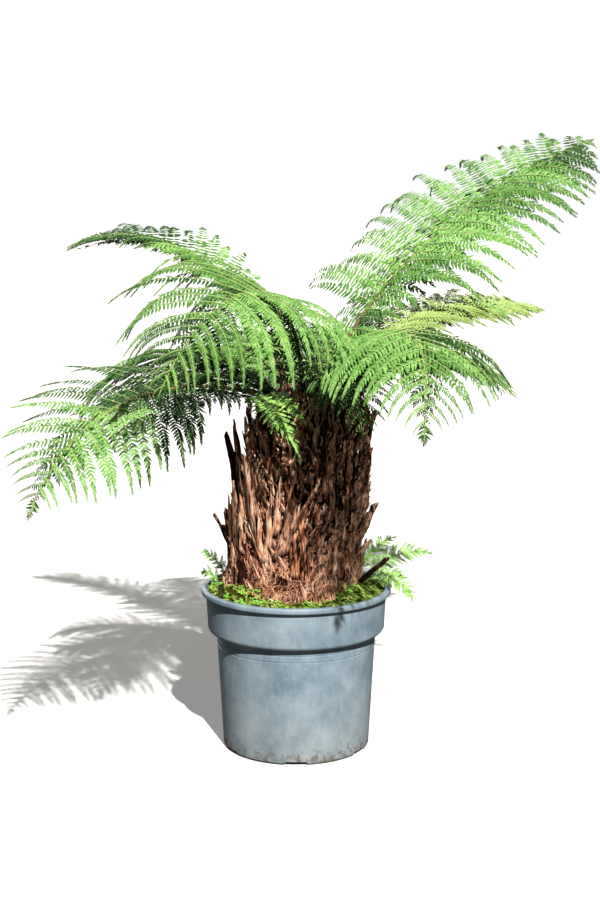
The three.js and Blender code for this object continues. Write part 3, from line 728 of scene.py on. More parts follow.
def scatterSkin(proud, zone, columns=96, rows=60):
    # an unseen skin round the trunk that small pieces are dealt out over, in patches some 28 mm wide
    level, fade, least = fibreZones[zone]
    z = np.linspace(trunk["foot"] + 0.006, trunk["top"] - 0.02, rows)[:, None]
    angle = (np.arange(columns) * 2 * np.pi / columns)[None, :]
    z, angle = np.broadcast_arrays(z, angle)
    points = trunkPoint(angle, z, proud).reshape(-1, 3)
    patchy = 0.55 + 0.6 * bumps(points, 0.028)
    shares = np.clip(np.clip((points[:, 2] - level) / fade, least, 1) * patchy, 0, 1)
    faces = tubeFaces(rows, columns, caps=False)
    return meshPiece("scatterSkin", points, faces, [], attributes={"density": shares})


# old frond bases placed one by one: angles in degrees, sizes in metres; the tones are 0 tan, 1 red, 2 dark
longBases = [
    dict(at=184, foot=0.500, length=0.186, lean=6, width=0.011, thickness=0.024, tone=2, taper=0.85),
    dict(at=196, foot=0.540, length=0.166, lean=2, width=0.011, thickness=0.020, tone=1, taper=0.8),
    dict(at=178, foot=0.455, length=0.150, lean=4, width=0.012, thickness=0.020, tone=1, taper=0.7),
    dict(at=176, foot=0.410, length=0.098, lean=25, width=0.010, thickness=0.012, tone=1, taper=0.7),
    dict(at=186, foot=0.420, length=0.084, lean=12, width=0.009, thickness=0.010, tone=2, taper=0.7),
    dict(at=356, foot=0.575, length=0.149, lean=3, width=0.012, thickness=0.018, tone=2, taper=0.6),
    dict(at=350, foot=0.645, length=0.080, lean=13, width=0.010, thickness=0.012, tone=1,
         taper=0.5, proud=0.004),
    dict(at=10, foot=0.580, length=0.066, lean=12, width=0.012, thickness=0.010, tone=1, taper=0.5,
         proud=0.004),
    dict(at=340, foot=0.520, length=0.060, lean=10, width=0.010, thickness=0.008, tone=0,
         taper=0.5, proud=0.006),
    dict(at=2, foot=0.440, length=0.090, lean=26, width=0.014, thickness=0.012, tone=0, taper=0.6),
    dict(at=350, foot=0.402, length=0.058, lean=30, width=0.009, thickness=0.010, tone=0, taper=0.5),
    dict(at=344, foot=0.352, length=0.108, lean=46, width=0.008, thickness=0.009, tone=2, taper=0.3),
    dict(at=226, foot=0.345, length=0.100, lean=2, width=0.014, thickness=0.010, tone=2, jag=0.5),
    dict(at=222, foot=0.340, length=0.086, lean=4, tilt=-4, width=0.008, thickness=0.008, tone=1),
    dict(at=250, foot=0.338, length=0.044, lean=34, tilt=30, width=0.009, thickness=0.006, tone=1),
    dict(at=238, foot=0.462, length=0.196, lean=6, tilt=9, width=0.012, thickness=0.005, tone=0, jag=0.2,
         proud=0.010),
    dict(at=228, foot=0.500, length=0.150, lean=8, tilt=14, width=0.009, thickness=0.004, tone=0,
         proud=0.008),
    dict(at=250, foot=0.480, length=0.130, lean=7, tilt=-10, width=0.007, thickness=0.005, tone=0,
         proud=0.012),
    dict(at=216, foot=0.430, length=0.130, lean=4, tilt=3, width=0.009, thickness=0.005, tone=0,
         proud=0.006),
    dict(at=208, foot=0.440, length=0.150, lean=5, tilt=3, width=0.008, thickness=0.005, tone=0,
         proud=0.006),
    dict(at=200, foot=0.430, length=0.130, lean=5, tilt=2, width=0.007, thickness=0.005, tone=1,
         proud=0.006),
    dict(at=244, foot=0.420, length=0.140, lean=6, tilt=-10, width=0.008, thickness=0.005, tone=0,
         proud=0.008),
    dict(at=256, foot=0.430, length=0.130, lean=7, tilt=-15, width=0.007, thickness=0.005, tone=0,
         proud=0.008),
    dict(at=262, foot=0.440, length=0.120, lean=7, tilt=-18, width=0.007, thickness=0.005, tone=0,
         proud=0.010),
    dict(at=272, foot=0.392, length=0.100, lean=7, tilt=-4, width=0.012, thickness=0.006, tone=1,
         proud=0.004),
]
stubs = {
    "count": 26, "firstHeight": 0.352, "lastHeight": 0.640, "turn": 137.5,
    "length": 0.122, "lengthSpread": 0.060, "width": 0.014, "widthSpread": 0.008, "thickness": 0.008,
    "proud": 0.003, "lean": 5, "leanSpread": 6, "atSpread": 8, "slimness": 0.42, "thinness": 0.6,
}
plates = {
    "count": 520, "lowest": 0.372, "highest": 0.706, "turn": 137.5, "turnSpread": 18,
    "length": (0.035, 0.125), "width": (0.0026, 0.0078), "lean": (-1, 11), "tilt": 7, "swirl": 16,
    "thickness": 0.0040, "proud": (-0.012, 0.007), "rows": 9, "columns": 6, "bulge": 0.62,
    "footWidth": 1.12, "narrowing": 0.45, "waist": 0.12, "ridges": 0.12, "crossRidges": 0.10,
    "curl": 0.05, "sway": 0.07, "wobble": 0.004, "longest": 1.1, "shortest": 0.6,
    # painted light and shade: a plate's tone is dealt by how far it faces sunnySide and how far below
    # sunnyBelow it sits, lit plates more often tan and shaded ones more often dark
    "sunnySide": 215, "sunnyBelow": 0.47,
    "shadyTones": (0.14, 0.26, 0.60), "sunnyGain": (0.42, 0.06, -0.48),  # shares of tan, red and dark
}


def seededRandom(seed):
    # the same repeatable numbers as the part's source draws
    state = seed
    while True:
        state = (state * 1664525 + 1013904223) % 4294967296
        yield state / 4294967296


def frondBase(random, at, foot, length, lean, width, thickness, tilt=0, proud=0.0, jag=0.4, inset=0.003,
              taper=0.45):
    # one old frond base: a ribbed half-pipe that leans off the trunk and ends in a torn tip
    angle = np.radians(at)
    out, side, up = compass(angle), -compass(angle + np.pi / 2), np.array([0, 0, 1.0])
    start = out * (trunkRadius(angle, foot) + proud - inset) + np.array([trunkAxis(foot), 0, foot])
    climb = out * math.sin(math.radians(lean)) + up * math.cos(math.radians(lean))
    climb = climb * math.cos(math.radians(tilt)) + side * math.sin(math.radians(tilt))
    face = unit(out - climb * np.dot(out, climb))
    v = np.linspace(0, 1, plates["rows"])[:, None]
    u = np.linspace(-1, 1, plates["columns"])[None, :]
    torn = 1 - jag * random.uniform(0, 1, plates["columns"])[None, :] * np.abs(u) ** 0.3
    wander = random.uniform(-1, 1, 5)
    reach = v * mix(1, torn, v ** 2) * length
    narrow = (plates["footWidth"] - plates["narrowing"] * v ** 1.4 - 0.35 * (taper - 0.45) * v
              + plates["waist"] * np.sin(7 * v + 3 * wander[0]))
    ridges = plates["ridges"] * np.cos(2.5 * np.pi * u + wander[1])
    ridges = ridges + plates["crossRidges"] * np.sin(9 * v + 5 * u + wander[2])
    curl = plates["curl"] * length * wander[3] * v ** 2
    height = width * (plates["bulge"] * (1 - u ** 2) + ridges) + curl
    sideways = plates["sway"] * length * wander[4] * np.sin(np.pi * v / 2) ** 2
    sideways = sideways + plates["wobble"] * np.sin(5 * v + 6 * wander[1])
    front = (start + climb * reach[..., None] + side * (width * narrow * u + sideways)[..., None]
             + face * height[..., None])
    back = front - face * (thickness * (1 - taper * v) * (1 - 0.35 * u ** 2))[..., None]
    return np.concatenate([front.reshape(-1, 3), back.reshape(-1, 3)])


def frondBaseFaces():
    rows, columns = plates["rows"], plates["columns"]
    half = rows * columns
    faces = []
    for i in range(rows - 1):
        for j in range(columns - 1):
            quad = [i * columns + j, i * columns + j + 1, (i + 1) * columns + j + 1, (i + 1) * columns + j]
            faces.append(tuple(reversed(quad)))
            faces.append(tuple(k + half for k in quad))
    rim = list(range(columns)) + [i * columns + columns - 1 for i in range(1, rows)]
    rim += [(rows - 1) * columns + j for j in range(columns - 2, -1, -1)]
    rim += [i * columns for i in range(rows - 2, 0, -1)]
    for here, following in zip(rim, rim[1:] + rim[:1]):
        faces.append((here, following, following + half, here + half))
    return faces


def buildFrondBases():
    random = np.random.default_rng(21)
    draw = seededRandom(9)
    rows = [dict(row) for row in longBases]
    for i in range(stubs["count"]):
        rows.append(dict(
            at=i * stubs["turn"] + stubs["atSpread"] * next(draw),
            foot=mix(stubs["firstHeight"], stubs["lastHeight"], i / stubs["count"]),
            length=stubs["length"] + stubs["lengthSpread"] * (next(draw) - 0.5),
            lean=stubs["lean"] + stubs["leanSpread"] * (next(draw) - 0.5),
            width=stubs["slimness"] * (stubs["width"] + stubs["widthSpread"] * next(draw)),
            thickness=stubs["thinness"] * stubs["thickness"], proud=stubs["proud"] * next(draw),
        ))
    for i in range(plates["count"]):
        share = ((i + random.uniform()) / plates["count"]) ** 0.9
        at = i * plates["turn"] + random.uniform(-1, 1) * plates["turnSpread"]
        foot = mix(plates["lowest"], plates["highest"], share)
        turn = math.radians(at)
        flow = noise.noise(Vector((2.2 * math.cos(turn), 2.2 * math.sin(turn), 7 * foot)))
        long = random.uniform(0, 1) ** 1.5
        shrink = mix(plates["longest"], plates["shortest"], share)
        rows.append(dict(
            at=at, foot=foot, length=mix(*plates["length"], long) * shrink,
            lean=random.uniform(*plates["lean"]), width=mix(*plates["width"], random.uniform() ** 1.6),
            thickness=plates["thickness"], tilt=plates["swirl"] * flow + random.normal(0, plates["tilt"]),
            proud=random.uniform(*plates["proud"]),
        ))
    points, faces, tones = [], [], []
    cells = frondBaseFaces()
    for row in rows:
        tone = row.pop("tone", None)
        if tone is None:
            # painted light and shade: plates towards the sun side and low down are dealt more tan, the
            # others more dark
            lit = 0.5 + 0.5 * math.cos(math.radians(row["at"] - plates["sunnySide"]))
            lit = np.clip(lit + 1.6 * (plates["sunnyBelow"] - row["foot"]), 0, 1)
            shares = [base + gain * lit for base, gain in zip(plates["shadyTones"], plates["sunnyGain"])]
            tone = int(random.choice(3, p=shares))
        first = len(points)
        points.extend(frondBase(random, **row))
        faces += [tuple(k + first for k in cell) for cell in cells]
        tones += [tone] * len(cells)
    points = np.array(points)
    points[:, 2] = np.maximum(points[:, 2], trunk["foot"] + 0.004)
    piece = meshPiece("oldFrondBases", points, faces, [barkTan, barkRed, barkDarkAndShade], tones)
    return finished(outward(piece), "trunk", "trunk")


def curlyFibre(name, curl, turns, steps=5, thickness=0.017):
    # a thin root fibre, a unit long from end to end along Y, three-sided, lying close to the surface
    v = np.linspace(0, 1, steps + 1)
    line = np.stack([
        curl * np.sin(2 * np.pi * turns * v), v - 0.5, 0.03 + 0.5 * curl * np.sin(np.pi * v) ** 2,
    ], -1)
    angle = np.arange(3) * 2 * np.pi / 3
    ring = np.stack([np.cos(angle), 0 * angle, np.sin(angle)], -1)
    size = thickness * (1 - 0.6 * np.abs(2 * v - 1) ** 3)
    points = line[:, None, :] + ring[None] * size[:, None, None]
    return hiddenTemplate(name, points.reshape(-1, 3), tubeFaces(steps + 1, 3))


def splinterShape(name):
    # a torn sliver of an old frond base, a unit long along Y, tapering to a point that stands off
    rows = [(0.0, 0.10, 0.00), (0.35, 0.13, 0.05), (0.7, 0.08, 0.10), (1.0, 0.01, 0.17)]
    points = []
    for y, half, lift in rows:
        points += [(-half, y, lift), (half, y, lift), (0.2 * half, y, lift + 0.6 * half)]
    return hiddenTemplate(name, points, tubeFaces(len(rows), 3))


def scattered(name, host, shape, row, slot, node):
    piece = grown(name, host, scatterOnSurface, {
        "Shape": shape, "Least spacing": row["spacing"], "Most per square metre": row["most"],
        "Seed": row["seed"], "Smallest": row["size"][0], "Largest": row["size"][1],
        "Lift": row.get("lift", 0.0), "Lift spread": row.get("liftSpread", 0.2),
        "Spin spread": row.get("spin", math.pi), "Finish": row["finish"],
    })
    return finished(piece, slot, node)


# what covers the trunk: lengths and least spacing in metres, most per square metre, angles in radians
trunkCover = {
    "rootFibresPale": dict(shape="bent", finish=fibrePale, proud=0.001, zone="lowDown", spacing=0.0024,
                           most=90000, size=(0.012, 0.034), seed=3, spin=3.14, lift=0.15),
    "rootFibresRed": dict(shape="curled", finish=fibreRed, proud=-0.001, zone="lowDown", spacing=0.0026,
                          most=70000, size=(0.012, 0.030), seed=5, spin=3.14, lift=0.15),
    "rootFibresDark": dict(shape="straight", finish=fibreDark, proud=-0.004, zone="lowDown",
                           spacing=0.0040, most=30000, size=(0.02, 0.045), seed=7, spin=1.2, lift=0.12),
    "splintersTan": dict(shape="splinter", finish=barkTan, proud=-0.003, zone="higherUp",
                         spacing=0.0050, most=15000, size=(0.012, 0.040), seed=11, spin=0.5, lift=0.16),
    "splintersRed": dict(shape="splinter", finish=barkRed, proud=-0.005, zone="higherUp",
                         spacing=0.0055, most=11000, size=(0.012, 0.036), seed=13, spin=0.5, lift=0.18),
    # near-white splinters: painted highlight, flecks of sunlight on the trunk
    "splintersPale": dict(shape="splinter", finish=barkPaleSunFleck, proud=0.002, zone="higherUp",
                          spacing=0.0085, most=6000, size=(0.006, 0.017), seed=19, spin=0.9, lift=0.35),
    "stalkHairs": dict(shape="straight", finish=hairGold, proud=-0.006, zone="atCrown", spacing=0.0035,
                       most=30000, size=(0.02, 0.05), seed=17, spin=0.5, lift=0.5),
}


def buildTrunk():
    total = finished(buildCore(), "trunk", "trunk") + buildFrondBases()
    shapes = {
        "straight": curlyFibre("fibreStraight", 0.06, 0.5), "bent": curlyFibre("fibreBent", 0.18, 0.8),
        "curled": curlyFibre("fibreCurled", 0.24, 1.3), "splinter": splinterShape("splinter"),
    }
    for name, row in trunkCover.items():
        host = scatterSkin(row["proud"], row["zone"])
        count = scattered(name, host, shapes[row["shape"]], row, "trunk", "trunk")
        print("  ", name, count, "triangles")
        total += count
        discard(host)
    discard(*shapes.values())
    return total


print("trunk made:", buildTrunk(), "triangles")


# compost and the moss on it

bed = {
    "soil": 0.326, "gap": 0.0003, "rim": 0.1863, "rimHeight": 0.005, "shoulder": 0.018,
    "shoulderHeight": 0.008, "crownAt": 0.048, "crown": 0.011, "bump": 0.003, "fineBump": 0.0012,
    "mound": 0.008, "moundReach": 0.036, "rings": 22, "segments": 180,
    "mounds": ((222, 26, 0.026), (338, 20, 0.018), (95, 30, 0.015)),
    "soilRadius": 0.1855, "soilSegments": 128,
}


def buildCompost():
    # the fill of the pot, with a crumbly top that stays under the moss
    wallSide = [
        (bodyRadius(pot["floor"]) - pot["wall"] - 0.005, pot["floor"] + bed["gap"]),
        (bodyRadius(pot["floor"]) - pot["wall"] - 0.001, pot["floor"] + 0.003),
        (pot["bodyTop"] - pot["wall"] - 0.001, pot["shoulderFoot"] + 0.002),
        (pot["bodyTop"] + 0.007, pot["collarFoot"] - 0.001),
        (pot["collarBottom"] - pot["wall"] - 0.001, pot["collarFoot"] + 0.003),
        (bed["soilRadius"], bed["soil"] - 0.002),
    ]
    top = [(r, bed["soil"] - 0.001) for r in np.linspace(bed["soilRadius"] - 0.002, 0.02, 16)]
    profile = np.array([(0.02, pot["floor"] + bed["gap"])] + wallSide + top)
    piece = lathed("compostFill", profile, bed["soilSegments"], [compostDark])
    for vertex in piece.data.vertices:
        if vertex.co.z > bed["soil"] - 0.003 and vertex.co.to_2d().length < bed["soilRadius"] - 0.001:
            vertex.co.z += 0.0010 * noise.noise(vertex.co / 0.008)
    return finished(piece, "compost", "compost")


def mossHeight(angle, radius, trunkEdge):
    # how high the moss stands over the compost: low at the rim, mounding up against the trunk
    inward = bed["rim"] - radius
    heights = (bed["rimHeight"], bed["shoulderHeight"], bed["crown"])
    height = np.interp(inward, (0, bed["shoulder"], bed["crownAt"]), heights)
    near = np.clip(1 - (radius - trunkEdge) / bed["moundReach"], 0, 1)
    rise = bed["mound"] * (0.5 + 0.5 * np.sin(3 * angle + 1.1) * np.sin(5 * angle + 0.3))
    for at, width, extra in bed["mounds"]:
        rise = rise + extra * np.exp(-(((np.degrees(angle) - at + 180) % 360 - 180) / width) ** 2)
    return height + rise * near ** 1.4


def buildMossBed():
    angle = (np.arange(bed["segments"]) * 2 * np.pi / bed["segments"])[None, :]
    radius = trunkRadius(angle, np.full_like(angle, trunk["foot"]))
    centre = trunkAxis(trunk["foot"])
    trunkEdge = centre * np.cos(angle) + np.sqrt(radius ** 2 - (centre * np.sin(angle)) ** 2)
    share = np.linspace(0, 1, bed["rings"])[:, None]
    reach = mix(bed["rim"], trunkEdge - 0.006, share)
    foot = bed["soil"] + bed["gap"]
    level = foot + mossHeight(angle, reach, trunkEdge)
    flat = compass(np.broadcast_to(angle, reach.shape)) * reach[..., None]
    rough = bumps(flat.reshape(-1, 3), 0.022).reshape(reach.shape)
    fine = bumps((flat + 3.0).reshape(-1, 3), 0.007).reshape(reach.shape)
    level = level + np.clip(share * 6, 0, 1) * (bed["bump"] * rough + bed["fineBump"] * fine)
    top = flat + level[..., None] * np.array([0, 0, 1])
    under = flat[::-1] + foot * np.array([0, 0, 1])
    rings = np.concatenate([top, under[:1], under[-1:]])
    count = len(rings)
    points = rings.reshape(-1, 3)
    segments = bed["segments"]
    faces = tubeFaces(count, segments, caps=False)
    last = (count - 1) * segments
    for j in range(segments):
        k = (j + 1) % segments
        faces.append((last + j, last + k, k, j))
    crowded = np.zeros(rings.shape[:2])
    clumps = bumps(top.reshape(-1, 3), 0.020).reshape(reach.shape)
    crowded[:len(top)] = np.clip(0.58 + 1.3 * clumps, 0.03, 1)
    piece = meshPiece("mossBed", points, faces, [mossBed], attributes={"density": crowded.ravel()})
    return outward(piece)


def cloverShape():
    # three heart-shaped leaflets on a short stem; one unit is a leaflet's length
    points, faces = [(0, 0, 0.9)], []
    edge = [(-0.42, 0.5, 1.0), (-0.34, 0.98, 1.02), (0, 0.84, 1.08), (0.34, 0.98, 1.02), (0.42, 0.5, 1.0)]
    for k in range(3):
        turn = 2 * math.pi * k / 3
        ahead = np.array([math.cos(turn), math.sin(turn), 0])
        side = np.array([-ahead[1], ahead[0], 0])
        first = len(points)
        for across, along, height in edge:
            points.append(tuple(ahead * along + side * across + np.array([0, 0, height])))
        faces += [(0, first + i + 1, first + i) for i in range(4)]
    first = len(points)
    for height in (-0.3, 0.9):
        for k in range(3):
            points.append((0.05 * math.cos(2.1 * k), 0.05 * math.sin(2.1 * k), height))
    faces += [(first + j, first + (j + 1) % 3, first + 3 + (j + 1) % 3, first + 3 + j) for j in range(3)]
    return hiddenTemplate("cloverShape", points, faces)


def mossTuftShape(blades=8):
    # a star of narrow leaves round a moss stem; one unit is a leaf's length
    points, faces = [], []
    for k in range(blades):
        turn = 2.4 * k
        lean = 0.5 + 0.7 * (k % 3) / 2
        ahead = np.array([math.cos(turn), math.sin(turn), 0])
        side = np.array([-ahead[1], ahead[0], 0])
        foot = ahead * 0.08 + np.array([0, 0, -0.2 + 0.05 * k])
        tip = foot + ahead * math.sin(lean) + np.array([0, 0, math.cos(lean)])
        middle = foot + 0.5 * (tip - foot) + np.array([0, 0, 0.08])
        first = len(points)
        points += [tuple(foot), tuple(middle - side * 0.17), tuple(middle + side * 0.17), tuple(tip)]
        faces += [(first, first + 2, first + 1), (first + 1, first + 2, first + 3)]
    return hiddenTemplate("mossTuftShape", points, faces)


def crumbShape():
    # a lump of compost or bark
    points = [(0.5, 0, 0.1), (0.1, 0.42, 0.0), (-0.45, 0.2, 0.15), (-0.3, -0.38, 0.05), (0.25, -0.4, 0.0),
              (0.05, 0.05, 0.42), (0, 0, -0.3)]
    faces = [(k, (k + 1) % 5, 5) for k in range(5)] + [((k + 1) % 5, k, 6) for k in range(5)]
    return hiddenTemplate("crumbShape", points, faces)


# what grows and lies on the moss bed, in the same units as on the trunk
mossCover = {
    "mossTuftsBright": dict(shape="tuft", finish=mossBright, spacing=0.0025, most=110000,
                            size=(0.0030, 0.0056), seed=2, liftSpread=0.35),
    "mossTuftsDeep": dict(shape="tuft", finish=mossDeep, spacing=0.0032, most=50000,
                          size=(0.0034, 0.0064), seed=4, liftSpread=0.35),
    "compostCrumbs": dict(shape="crumb", finish=compostCrumb, spacing=0.006, most=14000,
                          size=(0.003, 0.008), seed=6, liftSpread=0.35),
    "clover": dict(shape="clover", finish=cloverGreen, spacing=0.0070, most=8000,
                   size=(0.0042, 0.0080), seed=8, liftSpread=0.35),
}


def buildMoss():
    host = buildMossBed()
    shapes = {"clover": cloverShape(), "tuft": mossTuftShape(), "crumb": crumbShape()}
    total = 0
    for name, row in mossCover.items():
        total += scattered(name, host, shapes[row["shape"]], row, "moss", "moss_mat")
    discard(*shapes.values())
    host.data.attributes.remove(host.data.attributes["density"])
    return total + finished(host, "moss", "moss_mat")


print("compost made:", buildCompost(), "triangles")
print("moss made:", buildMoss(), "triangles")


# fronds

crown = np.array([0.022, 0.0, 0.735])
frond = {
    "steps": 60, "seat": 0.050, "stalk": 0.092, "ribFoot": 0.0058, "ribTip": 0.0008,
    "firstLeaf": 0.06, "lastLeaf": 0.985, "spacing": 0.022, "rootShare": 0.5, "curl": 0.25,
    "leaf": 0.15, "roll": 0, "twist": 0, "droop": 0.4, "lift": 6, "fanIn": 84, "fanOut": 46,
    "taper": 1.5, "widest": 0.52, "bend": 1.0, "tilt": 9, "leafletRib": 0.0010, "toLight": 0.8, "arch": 7,
    "pinnuleSpacing": 0.0066, "pinnuleWidth": 0.76, "pinnuleReach": 0.76, "fullLeaf": 0.085, "seed": 1,
    "light": np.array([0.15, -0.55, 0.82]),  # leaflets turn their faces a little this way, by toLight
    "under": 0.42, "underDrop": 0.009, "ribRise": 0.0025, "ribInset": 0.003, "tipReach": 0.07,
    "early": [],  # rows of side, how far along, and the part of their length that those leaflets keep
    "tones": [(0, 1, (0.30, 0.50, 0.20, 0.0, 0.0))],
}
# how leaflets stray from even rows: angles in degrees, the rest as shares
leafletHabit = {
    "offset": 0.2, "spacing": 0.10, "fan": 2.2, "lift": 4, "droop": 0.05, "shortest": 0.93, "longest": 1.02,
    "archDroop": 0.012, "mostSag": 0.95, "sagPower": 1.2, "earlyFade": 0.05,
}
# mixes of leaflets, as shares of the five leaf materials; the last two are darker mixes laid where the
# fronds lie in shade, so they are painted shade over the leaves' own varied green
fresh, green = (0.8, 0.2, 0, 0, 0), (0.35, 0.55, 0.1, 0, 0)
paintedShade, dark = (0.1, 0.5, 0.4, 0, 0), (0, 0.2, 0.8, 0, 0)
# azimuth and sweep turn the midrib seen from above; rise and fall are its slope at root and tip;
# tones are rows of side (0 both, 1 right looking out, -1 left), how far along the frond, and the shares
# of fresh, green, deep, underside and young leaflets up to there
# the tones follow where each frond lies in sun or in shade: the darker mixes on shaded parts and on the
# inner fronds are painted shade
frondRows = {
    "upperRight": dict(azimuth=52, sweep=-28, rise=70, fall=20, bend=0.4, length=0.990, roll=5, twist=-34,
                       leaf=0.250, droop=0.53, lift=8, fanIn=94, fanOut=63, taper=2.5, widest=0.48,
                       spacing=0.031, pinnuleSpacing=0.0088, pinnuleWidth=0.84, rootShare=0.5, toLight=1.6,
                       light=np.array([0.0, -0.92, 0.4]), early=[(-1, 0.24, 0.45), (1, 0.31, 0.42)],
                       tones=[(0, 0.3, green), (1, 0.82, green), (0, 0.82, fresh), (0, 1, paintedShade)]),
    "frontLeft": dict(azimuth=263, sweep=-30, rise=72, fall=-56, length=0.800, roll=21, twist=-2,
                      leaf=0.260, droop=0.63, lift=4, fanIn=89, fanOut=44, taper=1.2, widest=0.6,
                      spacing=0.027, pinnuleSpacing=0.0072, rootShare=0.55, fullLeaf=0.21,
                      toLight=(1.7, 0.8),
                      tones=[(1, 1, paintedShade), (-1, 0.7, fresh), (-1, 1, green)]),
    "lowLeft": dict(azimuth=212, sweep=25, rise=19, fall=-59, bend=1.4, length=0.718, roll=11, twist=28,
                    leaf=0.210, droop=0.29, lift=-8, fanIn=86, fanOut=57, taper=1.3, widest=0.53,
                    spacing=0.027, pinnuleSpacing=0.0072, rootShare=0.5, fullLeaf=0.15,
                    early=[(-1, 0.31, 0.55)],
                    tones=[(1, 0.6, dark), (1, 1, green), (-1, 0.5, dark), (-1, 1, fresh)]),
    "frontRight": dict(azimuth=307, sweep=-46, rise=42, fall=-61, bend=1.5, length=0.778, roll=-12,
                       twist=22,
                       leaf=0.225, droop=0.59, lift=-14, fanIn=80, fanOut=63, taper=1.2, widest=0.55,
                       spacing=0.028, pinnuleSpacing=0.0072, rootShare=0.5, fullLeaf=0.16,
                       tones=[(1, 0.4, green), (1, 1, fresh), (-1, 0.50, fresh), (-1, 0.66, dark),
                              (-1, 1, green)]),
    "upperLeft": dict(azimuth=138, sweep=16, rise=73, fall=-21, length=0.756, roll=18, twist=5,
                      leaf=0.136, droop=0.48, lift=(9, 32), fanIn=83, fanOut=40, taper=3.2, widest=0.44,
                      firstLeaf=0.30, spacing=0.028, pinnuleSpacing=0.0088, pinnuleWidth=0.84,
                      pinnuleReach=0.84, toLight=1.3, light=np.array([0, -0.85, 0.5]),
                      early=[(-1, 2, 0.82)],
                      tones=[(0, 0.55, (0.5, 0.5, 0, 0, 0)), (0, 1, dark)]),
    "right": dict(azimuth=42, sweep=-27, rise=62, fall=-11, bend=0.6, length=0.621, roll=-5, twist=-12,
                  leaf=0.150, droop=0.42, lift=9, fanIn=72, fanOut=50, taper=1.6, spacing=0.013,
                  toLight=2.6, light=np.array([0.1, -1.0, 0.2]), pinnuleReach=1.5,
                  tones=[(0, 1, (0.1, 0.0, 0.0, 0.9, 0))]),
    "backRight": dict(azimuth=78, sweep=-8, rise=34, fall=-30, bend=0.9, length=0.720, leaf=0.190,
                      spacing=0.027, pinnuleSpacing=0.0066),
    "backLeft": dict(azimuth=102, sweep=6, rise=36, fall=-42, length=0.730, leaf=0.190,
                     spacing=0.027, pinnuleSpacing=0.0066),
    "left": dict(azimuth=172, sweep=7, rise=47, fall=-66, bend=1.1, length=0.515, roll=-5, twist=6,
                 taper=1.2, tones=[(0, 1, paintedShade)]),
    "farRight": dict(azimuth=350, sweep=-6, rise=40, fall=-42, bend=1.2, length=0.420, leaf=0.140,
                     tones=[(0, 1, paintedShade)]),
    "innerBack": dict(azimuth=122, sweep=3, rise=41, fall=-46, length=0.500, leaf=0.170),
    "innerLeft": dict(azimuth=193, sweep=-5, rise=36, fall=-50, length=0.450, leaf=0.165,
                      tones=[(0, 1, paintedShade)]),
    "innerFront": dict(azimuth=285, sweep=3, rise=52, fall=-74, bend=1.2, length=0.400, leaf=0.120,
                       tones=[(0, 1, dark)]),
    "innerRight": dict(azimuth=14, sweep=-3, rise=44, fall=-40, length=0.430, leaf=0.135,
                       tones=[(0, 1, dark)]),
}
# two young fronds that hang in front of the trunk; their leaflets are toothed rather than cut to the rib
youngFrond = {
    "seat": 0, "stalk": 0.055, "ribFoot": 0.0032, "ribTip": 0.0008, "firstLeaf": 0.24, "spacing": 0.0098,
    "leaf": 0.052, "droop": 0.15, "widest": 0.58, "rootShare": 0.55, "fanIn": 74, "fanOut": 52,
    "taper": 1.5, "leafletRib": 0.0005, "pinnuleSpacing": 0.0042, "pinnuleWidth": 1.4, "pinnuleReach": 0.52,
    "fullLeaf": 0.02, "tilt": 5, "under": 0, "toLight": 1.6, "light": np.array([0.1, -0.8, 0.6]), "arch": 0,
    "tones": [(0, 1, (0.2, 0, 0, 0, 0.8))],
}
youngRows = {
    "youngLow": dict(root=(-0.008, -0.048, 0.738), azimuth=200, sweep=184, rise=29, fall=-79, length=0.285),
    "youngFront": dict(root=(0.004, -0.050, 0.742), azimuth=207, sweep=149, rise=29, fall=-51, length=0.191,
                       leaf=0.037),
}
# seedling sprigs that grow out of the moss
sprig = {
    "seat": 0, "ribFoot": 0.0012, "ribTip": 0.0005, "firstLeaf": 0.20, "spacing": 0.0105, "leaf": 0.031,
    "droop": 0.25, "widest": 0.5, "rootShare": 0.6, "fanIn": 75, "leafletRib": 0.0004, "fullLeaf": 0.014,
    "pinnuleSpacing": 0.0050, "pinnuleWidth": 1.0, "pinnuleReach": 0.66, "tilt": 14, "toLight": 1.4,
    "light": np.array([0.1, -0.8, 0.6]), "under": 0, "arch": 0, "tones": [(0, 1, (0.3, 0.1, 0, 0, 0.6))],
}
sprigRows = {
    "rightLong": dict(root=(0.142, 0.060, 0.333), roll=-42, azimuth=349, sweep=0, rise=60, fall=-10,
                      length=0.178, leaf=0.040),
    "rightShort": dict(root=(0.152, 0.034, 0.333), roll=-42, azimuth=333, sweep=-2, rise=60, fall=-30,
                       length=0.104),
    "rightLow": dict(root=(0.157, 0.004, 0.333), roll=-42, azimuth=334, sweep=-6, rise=56, fall=-76,
                     length=0.128),
    "rightBack": dict(root=(0.135, 0.088, 0.333), roll=-42, azimuth=10, sweep=0, rise=82, fall=12,
                      length=0.134),
    "leftBack": dict(root=(-0.153, 0.080, 0.333), roll=42, azimuth=193, sweep=7, rise=84, fall=17,
                     length=0.092),
    "leftFront": dict(root=(-0.162, 0.030, 0.333), roll=42, azimuth=201, sweep=3, rise=77, fall=-3,
                      length=0.060, leaf=0.028),
}


